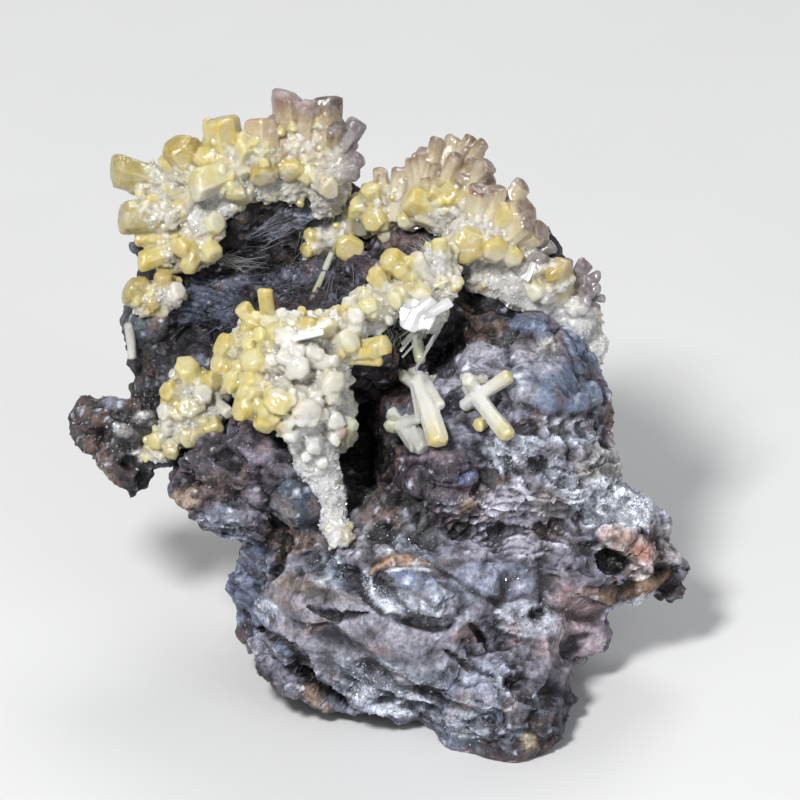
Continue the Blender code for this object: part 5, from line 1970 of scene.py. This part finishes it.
RIGHT_CREST = Cluster(
    "right_crest_cluster",
    lumps=(
        (-6.2, 11.4, 1.1), (-4.6, 12.4, 1.2), (-2.9, 13.9, 1.3), (-1.3, 14.2, 1.5), (0.8, 14.2, 1.6),
        (2.8, 14.4, 1.7), (4.6, 13.4, 1.8), (6.4, 12.2, 1.8), (7.6, 10.8, 1.7), (6.0, 10.4, 1.5),
        (9.2, 9.4, 1.5), (10.8, 8.4, 1.5), (12.4, 7.0, 1.5), (13.2, 6.0, 1.5), (14.1, 5.0, 1.3),
        (14.5, 3.9, 1.3), (15.0, 2.8, 1.1), (2.6, 15.2, 1.3), (4.6, 14.4, 1.4), (6.4, 13.4, 1.3),
        (7.2, 8.8, 1.2), (8.6, 8.0, 1.3), (10.2, 7.2, 1.2), (11.6, 6.6, 1.3), (12.9, 5.5, 1.3),
        (14.2, 3.8, 1.2),
        (14.9, 2.1, 0.8), (5.6, 9.2, 1.0),
    ),
    crystals={
        Tone.BEIGE: ((5.7, 13.4, 82, 30, 2.9, 1.00),),
        Tone.BROWN: (
            (3.5, 15.2, 60, -5, 4.6, 0.80), (5.0, 14.4, 95, -20, 1.7, 0.80),
            (3.6, 15.3, 80, -30, 1.9, 0.85),
        ),
        Tone.HONEY: (
            (3.5, 14.0, 158, 20, 3.5, 1.20), (5.2, 12.3, 250, 60, 2.4, 1.45), (6.7, 11.9, 300, 60, 2.1, 1.10),
            (7.2, 12.4, 60, 30, 2.7, 0.90), (-1.4, 14.0, 220, 60, 1.9, 1.00),
            (-6.2, 11.6, 200, 40, 1.4, 0.60), (-6.0, 12.4, 170, 35, 1.4, 0.60),
            (3.4, 14.8, 110, 50, 1.9, 0.90),
            (7.6, 11.2, 330, 55, 2.0, 0.85),
        ),
        Tone.LEMON: (
            (-2.0, 14.9, 105, 45, 1.8, 0.85), (-0.8, 13.2, 250, 50, 1.6, 0.65),
            (1.0, 13.6, 200, 65, 1.8, 0.75),
            (-3.0, 14.0, 100, 45, 1.5, 0.80), (10.8, 8.2, 190, 55, 1.7, 0.80),
            (2.2, 14.6, 120, 55, 1.8, 0.85),
        ),
        Tone.AMBER: ((11.9, 8.9, 100, 45, 1.9, 1.10),),
        Tone.MILK: ((10.0, 9.4, 60, 50, 1.6, 0.70), (12.9, 7.2, 300, 60, 1.3, 0.60)),
    },
    sprays=(
        Spray(Tone.BEIGE, 2.6, 14.6, 56, 20, 6, 5.9, 0.66, (0.0, 24.0), 1.9),
        Spray(Tone.BEIGE, 3.2, 14.2, 50, 15, 4, 5.2, 0.60, (24.0, 38.0), 1.5),
        Spray(Tone.BEIGE, 1.6, 15.4, 86, 7, 3, 3.5, 0.55, (0.0, 20.0), 1.2),
        Spray(Tone.BEIGE, -0.7, 15.2, 90, 7, 2, 2.9, 0.60, (0.0, 20.0), 1.0),
        Spray(Tone.BEIGE, 7.1, 13.0, 58, 16, 3, 3.9, 0.80, (5.0, 30.0), 1.2),
        Spray(Tone.BEIGE, 7.8, 12.0, 32, 10, 2, 3.5, 1.05, (10.0, 35.0), 0.9),
        Spray(Tone.SMOKE, 9.0, 10.9, 14, 20, 3, 2.6, 0.78, (5.0, 40.0), 1.2),
        Spray(Tone.SMOKE, 12.8, 8.2, 20, 60, 8, 2.5, 0.46, (0.0, 30.0), 1.2),
        Spray(Tone.SMOKE, 13.2, 7.8, 10, 55, 7, 1.8, 0.42, (35.0, 65.0), 1.4),
        Spray(Tone.HONEY, 4.2, 14.4, 96, 44, 4, 2.0, 0.82, (30.0, 60.0), 1.8),
    ),
    blades={
        Tone.MILK: (
            (1.4, 13.0, 0.5, 12, 2.4, 0.12), (1.6, 12.6, 0.5, 4, 2.2, 0.10), (1.7, 12.1, 0.5, -6, 2.3, 0.12),
            (1.9, 11.7, 0.4, 8, 2.0, 0.10),
        ),
        Tone.SNOW: ((9.6, 9.2, 1.0, 70, 1.2, 0.26), (9.4, 9.3, 1.0, 30, 0.9, 0.2)),
    },
    zones=(
        Patch(13.0, 5.2, 3.6, 2.1, -48, "#fafafc", 0.95),
        Patch(9.4, 7.9, 2.8, 1.1, -14, "#f2f1f0", 0.9),
        Patch(7.6, 9.6, 2.0, 1.4, -20, "#ece6e0", 0.8),
        Patch(1.4, 12.6, 3.2, 1.4, 8, "#ece8e2", 0.8),
    ),
    buds=140,
    sugar=2800,
    seed=22,
    tint="#efebe0",
)

MIDDLE_RIDGE = Cluster(
    "middle_ridge_cluster",
    lumps=(
        (3.0, 10.2, 1.2), (2.7, 9.5, 1.4), (2.4, 8.4, 1.6), (2.0, 6.8, 1.5), (0.4, 8.0, 1.5),
        (-1.1, 7.3, 1.5),
        (-2.6, 6.2, 1.6), (-4.1, 5.1, 1.7), (-6.0, 3.9, 1.9), (-8.2, 3.8, 2.0), (-10.2, 4.2, 1.7),
        (-11.2, 2.6, 1.6), (-10.1, 0.8, 1.8), (-7.9, 1.1, 2.0), (-6.0, 1.9, 1.9), (-7.5, -1.1, 1.8),
        (-9.4, -0.6, 1.4), (-5.6, -0.4, 1.7), (-6.9, -3.0, 1.7), (-6.6, -4.4, 1.6), (-6.1, -5.7, 1.4),
        (-5.7, -6.9, 1.3), (-5.3, -8.2, 1.15), (-5.0, -9.4, 1.0), (-4.6, -10.5, 0.8), (-5.0, -2.6, 1.3),
    ),
    crystals={
        Tone.HONEY: (
            (-9.7, 5.8, 97, 20, 2.7, 0.62), (-10.6, 5.2, 125, 20, 2.4, 0.70),
            (-10.4, 4.8, 110, 40, 2.0, 1.05),
            (-11.6, 3.7, 165, 30, 2.3, 1.00), (-11.9, 2.8, 185, 25, 2.2, 0.85),
            (-10.2, -0.1, 200, 35, 2.5, 1.05),
            (-9.6, -0.7, 250, 40, 2.1, 0.90), (1.1, 9.2, 145, 28, 3.1, 1.00), (-0.9, 8.2, 125, 20, 2.0, 0.60),
            (-3.8, 3.5, 12, 20, 3.3, 0.82), (-8.4, 5.4, -5, 30, 2.6, 0.90), (-7.1, -0.2, 300, 70, 2.5, 1.05),
        ),
        Tone.LEMON: (
            (3.0, 10.5, 92, 20, 1.7, 0.60), (0.0, 8.0, 240, 60, 1.7, 0.70), (-1.9, 6.6, 150, 60, 1.7, 0.75),
            (-11.6, 1.9, 215, 30, 1.9, 0.75), (-4.9, 3.9, 20, 45, 2.3, 0.95),
            (-6.0, 4.6, 60, 50, 2.2, 0.90), (-8.6, 0.4, 230, 70, 2.4, 1.05), (-5.6, 1.5, 340, 65, 2.3, 1.05),
            (-10.2, 2.6, 150, 60, 2.3, 1.00), (1.5, 8.3, 280, 65, 2.1, 0.85),
        ),
        Tone.MILK: (
            (-5.4, -0.8, 310, 55, 2.1, 0.80), (-6.6, 3.0, 30, 75, 2.2, 0.85), (-3.4, 5.4, 80, 60, 2.0, 0.80),
            (-8.4, 4.1, 90, 75, 2.4, 0.95), (-7.5, 2.3, 90, 85, 2.4, 0.90), (-7.7, -2.2, 230, 50, 1.5, 0.50),
            (-6.5, -2.9, 280, 55, 1.5, 0.60), (-5.4, -2.5, 320, 50, 1.4, 0.50),
            (-6.9, -3.9, 260, 65, 1.0, 0.42),
            (-5.9, -4.4, 300, 60, 0.9, 0.45),
        ),
        Tone.ROSE: ((-5.1, -1.2, 300, 30, 1.9, 0.55),),
        Tone.PALE_GREEN: ((1.2, 4.8, 280, 30, 2.3, 0.50), (-4.4, -1.4, 330, 40, 1.6, 0.50)),
        Tone.OLIVE: ((1.7, 3.8, 270, 40, 1.5, 0.62),),
    },
    sprays=(
        Spray(Tone.LEMON, -9.8, 3.4, 130, 60, 6, 2.4, 0.72, (30.0, 60.0), 2.2),
        Spray(Tone.MILK, -7.4, 2.6, 90, 80, 9, 2.3, 0.60, (50.0, 80.0), 3.4),
        Spray(Tone.MILK, -6.4, -0.4, 290, 60, 6, 2.0, 0.54, (45.0, 75.0), 2.6),
        Spray(Tone.LEMON, -9.6, 0.4, 210, 40, 5, 2.3, 0.68, (25.0, 60.0), 2.0),
        Spray(Tone.LEMON, -7.6, 0.6, 270, 70, 6, 2.3, 0.60, (45.0, 75.0), 2.8),
        Spray(Tone.AMBER, -9.4, -0.4, 235, 40, 3, 2.3, 0.66, (15.0, 45.0), 1.8),
        Spray(Tone.HONEY, 1.4, 8.8, 150, 40, 3, 2.4, 0.72, (25.0, 55.0), 1.4),
    ),
    blades={
        Tone.SNOW: (
            (1.2, 6.4, 2.70, 196, 1.3, 0.58), (1.2, 6.4, 2.74, 152, 1.3, 0.46),
            (1.2, 6.4, 2.66, 104, 1.2, 0.60),
            (1.2, 6.4, 2.76, 44, 1.7, 0.52), (1.2, 6.4, 2.64, 18, 2.0, 0.50),
            (1.2, 6.4, 2.72, 338, 1.5, 0.56),
            (1.2, 6.4, 2.68, 286, 1.3, 0.62), (1.2, 6.4, 2.78, 238, 1.4, 0.50),
            (1.9, 6.2, 2.70, 32, 2.2, 0.40),
            (-7.6, 4.65, 2.5, 22, 2.0, 0.34), (-7.0, 4.8, 2.5, 34, 2.2, 0.26),
            (-7.2, 4.95, 2.45, 12, 1.2, 0.24),
        ),
        Tone.GREY: (
            (3.2, 5.2, 1.5, 231, 3.4, 0.15), (2.8, 5.0, 1.4, 238, 3.4, 0.12), (2.3, 4.9, 1.3, 246, 2.8, 0.11),
            (3.5, 5.7, 1.3, 226, 3.0, 0.14), (1.6, 4.9, 1.3, 252, 2.4, 0.10), (2.9, 4.8, 1.2, 216, 2.8, 0.09),
            (0.6, 5.2, 1.4, 262, 2.0, 0.11), (2.0, 5.2, 1.3, 228, 3.2, 0.11), (3.0, 5.6, 1.5, 240, 2.6, 0.09),
        ),
    },
    zones=(
        Patch(-6.1, -5.6, 1.9, 5.6, 12, "#fcfdff", 0.97),
        Patch(-5.7, -0.6, 2.0, 2.6, 0, "#f4f2ec", 0.92),
        Patch(-7.4, 3.6, 2.4, 1.6, 24, "#ece8dc", 0.90),
        Patch(-6.4, 1.6, 2.8, 1.8, -20, "#eeeadf", 0.86),
        Patch(-3.4, 5.2, 1.8, 1.1, 34, "#f6f4ea", 0.85),
        Patch(-0.9, 7.3, 2.2, 1.1, 36, "#f8f3d6", 0.70),
        Patch(-9.0, 1.0, 1.0, 1.3, 0, "#efebdf", 0.75),
        Patch(1.9, 6.6, 1.8, 1.6, 0, "#f8f8f4", 0.9),
        Patch(2.3, 10.2, 1.3, 1.1, 0, "#fafafa", 0.9),
    ),
    buds=240,
    sugar=4400,
    seed=33,
    habit=Habit(uneven=0.22, round_off=0.30, grain=0.09, tip_flat=(0.36, 0.62)),
)

LOWER_LEFT = Cluster(
    "lower_left_cluster",
    lumps=(
        (-17.6, -3.0, 1.2), (-16.5, -2.1, 1.5), (-15.8, -0.6, 1.6), (-14.8, 0.2, 1.5), (-15.4, 1.2, 1.4),
        (-14.2, -0.8, 1.4), (-13.6, 0.8, 1.2), (-15.0, -2.2, 1.3), (-18.2, -3.8, 0.9),
    ),
    crystals={
        Tone.LEMON: (
            (-15.5, 1.1, 110, 35, 2.2, 1.05), (-14.0, 0.8, 15, 25, 1.9, 0.70),
            (-15.8, -1.0, 90, 75, 2.0, 0.95),
            (-14.4, -1.2, 290, 40, 2.0, 0.95), (-17.5, -2.7, 200, 35, 1.6, 0.70),
            (-16.2, -2.3, 300, 60, 1.8, 0.80),
        ),
        Tone.HONEY: (
            (-16.3, 0.2, 160, 40, 1.9, 0.85), (-14.8, 1.0, 30, 50, 1.9, 0.85),
            (-17.0, -3.0, 260, 45, 1.7, 0.70),
            (-15.2, -2.2, 280, 60, 1.6, 0.75),
        ),
        Tone.MILK: (
            (-15.0, 0.0, 60, 70, 1.8, 0.80), (-16.7, -1.1, 170, 50, 1.9, 0.80),
            (-16.7, -2.0, 200, 50, 1.7, 0.55),
            (-13.6, -0.4, 320, 50, 1.6, 0.55),
        ),
    },
    zones=(
        Patch(-16.6, -2.6, 1.8, 1.3, 30, "#dcd8ca", 0.8),
        Patch(-14.9, -0.4, 1.6, 1.2, 10, "#dedacc", 0.85),
        Patch(-16.2, 0.6, 0.8, 0.6, 30, "#eeece6", 0.8),
    ),
    buds=110,
    sugar=1200,
    seed=44,
    tint="#dedac8",
)

FAR_LEFT = Cluster(
    "far_left_cluster",
    lumps=((-19.0, 7.5, 1.0), (-17.9, 7.9, 1.0), (-17.3, 8.0, 0.8)),
    crystals={
        Tone.OLIVE: ((-19.0, 7.5, 150, 25, 2.1, 1.05),),
        Tone.AMBER: ((-17.9, 8.0, 85, 25, 1.8, 0.80), (-18.6, 7.7, 250, 50, 1.3, 0.70)),
        Tone.MILK: ((-17.3, 7.7, 40, 50, 1.5, 0.75),),
    },
    zones=(Patch(-17.4, 7.6, 0.9, 1.2, 0, "#f0ece2", 0.9),),
    buds=26,
    sugar=420,
    seed=55,
)

LEFT_EDGE = Cluster(
    "left_edge_crystal",
    crystals={Tone.GREY: ((-20.3, 3.8, 95, 12, 2.1, 0.40),)},
    habit=Habit(depth=0.7, round_off=0.5),
    seed=66,
)

ROUND_CRYSTAL = Cluster(
    "round_crystal",
    crystals={Tone.HONEY: ((-4.1, 11.6, 330, 78, 2.1, 1.16),)},
    habit=Habit(tip_height=(0.20, 0.24), tip_flat=(0.72, 0.76), uneven=0.04, round_off=0.4),
    alone=9.0,
    seed=77,
)

PALE_NEEDLE = Cluster(
    "pale_needle",
    crystals={Tone.PALE_GREEN: ((-5.7, 9.8, 248, 34, 2.9, 0.28),)},
    slot="pale_mimetite",
    seed=88,
)

PALE_CRYSTAL = Cluster(
    "pale_crystal",
    crystals={
        Tone.GREY: (
            (0.2, -2.0, 306, 36, 2.5, 0.66), (1.1, -2.5, 300, 42, 1.9, 0.72),
            (0.6, -1.6, 20, 40, 1.2, 0.45),
        ),
        Tone.PALE_GREEN: ((-0.3, -1.5, 230, 55, 1.3, 0.60),),
    },
    slot="pale_mimetite",
    alone=9.0,
    seed=99,
)

TWIN_LEFT = Cluster(
    "twin_crystal_left",
    lumps=((1.9, 1.0, 0.8),),
    crystals={
        Tone.CREAM: ((1.7, 0.4, 288, 42, 5.2, 0.80), (1.2, 0.9, 280, 36, 2.8, 0.50)),
        Tone.MILK: ((1.0, 1.2, 140, 34, 1.4, 0.50), (2.3, 0.8, 300, 50, 2.4, 0.42)),
    },
    buds=8,
    sugar=110,
    alone=9.0,
    seed=111,
)

TWIN_RIGHT = Cluster(
    "twin_crystal_right",
    lumps=((5.9, 0.1, 0.9), (6.2, 1.4, 0.7)),
    crystals={
        Tone.CREAM: ((5.8, 0.2, 308, 42, 5.0, 0.64), (5.9, 0.3, 34, 32, 3.3, 0.58)),
        Tone.HONEY: ((6.7, -1.3, 215, 62, 2.4, 0.52),),
        Tone.MILK: ((5.6, 0.9, 130, 40, 1.4, 0.55),),
    },
    blades={Tone.MILK: ((5.2, 1.6, 0.7, 170, 1.9, 0.20), (6.4, 1.4, 0.7, 160, 1.6, 0.18))},
    buds=12,
    sugar=150,
    alone=9.0,
    seed=122,
)

CLUSTERS = (
    LEFT_CREST, RIGHT_CREST, MIDDLE_RIDGE, LOWER_LEFT, FAR_LEFT, LEFT_EDGE, ROUND_CRYSTAL, PALE_NEEDLE,
    PALE_CRYSTAL, TWIN_LEFT, TWIN_RIGHT,
)


# The studio


@dataclass(frozen=True)
class Studio:
    """The pale floor, the soft lights and the camera at the photograph's angle."""

    distance: float = 0.600
    lens: float = 360.0
    floor_half: float = 3.0
    sky: float = 0.30

    def floor(self) -> None:
        """Lays the floor under the specimen."""
        half = self.floor_half
        mesh = bpy.data.meshes.new("floor")
        corners = [(-half, -half, 0), (half, -half, 0), (half, half, 0), (-half, half, 0)]
        mesh.from_pydata(corners, [], [(0, 1, 2, 3)])
        mesh.materials.append(FloorFinish().material())
        obj = bpy.data.objects.new("floor", mesh)
        bpy.context.scene.collection.objects.link(obj)

    def light(self, name: str, way: Array, reach: float, size: float, power: float, tint: str) -> None:
        """Hangs a soft square light.

        Args:
            name: its name.
            way: the direction to it.
            reach: distance from the specimen in metres.
            size: its side in metres.
            power: watts.
            tint: display colour.
        """
        lamp = bpy.data.lights.new(name, "AREA")
        lamp.size, lamp.energy, lamp.color = size, power, linear(tint)
        obj = bpy.data.objects.new(name, lamp)
        away = Vector(way)
        obj.location = Vector((0.0, 0.0, 0.02)) + away * reach
        obj.rotation_euler = away.to_track_quat("Z", "Y").to_euler()
        bpy.context.scene.collection.objects.link(obj)

    def camera(self) -> None:
        """Sets the camera on the face's middle."""
        lens = bpy.data.cameras.new("camera")
        lens.lens, lens.sensor_width, lens.clip_start = self.lens, 36.0, 0.01
        obj = bpy.data.objects.new("camera", lens)
        back = Vector(CAMERA_WAY)
        obj.location = Vector(FACE.origin) * MM + back * self.distance
        obj.rotation_mode = "QUATERNION"
        obj.rotation_quaternion = (-back).to_track_quat("-Z", "Y")
        bpy.context.scene.collection.objects.link(obj)
        bpy.context.scene.camera = obj

    def build(self) -> None:
        """Sets up the floor, the lights, the sky and the camera."""
        self.floor()
        self.light("key", KEY_WAY, 0.50, 0.08, 2.5, "#ffffff")
        self.light("fill", aimed(40.0, 35.0), 0.60, 0.30, 0.6, "#f2f5ff")
        self.light("rim", aimed(170.0, 50.0), 0.60, 0.25, 1.0, "#ffffff")
        self.camera()
        world = bpy.data.worlds.new("sky")
        world.use_nodes = True
        sky = world.node_tree.nodes["Background"]
        sky.inputs["Color"].default_value = (*linear("#e9ebee"), 1.0)
        sky.inputs["Strength"].default_value = self.sky
        bpy.context.scene.world = world
        bpy.context.scene.view_settings.view_transform = "Standard"


def main() -> None:
    """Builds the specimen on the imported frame, then the studio round it."""
    logging.basicConfig(level=logging.INFO, format="%(name)s: %(message)s")
    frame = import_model()
    rock = Matrix()
    rock.build(frame["nodes"]["matrix"])
    for cluster in CLUSTERS:
        cluster.build(rock)
    Hairs().build(rock.surface)
    for grains in ROCK_GRAINS:
        grains.build(rock)
    Studio().build()
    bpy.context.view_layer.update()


if __name__ == "__main__":
    main()
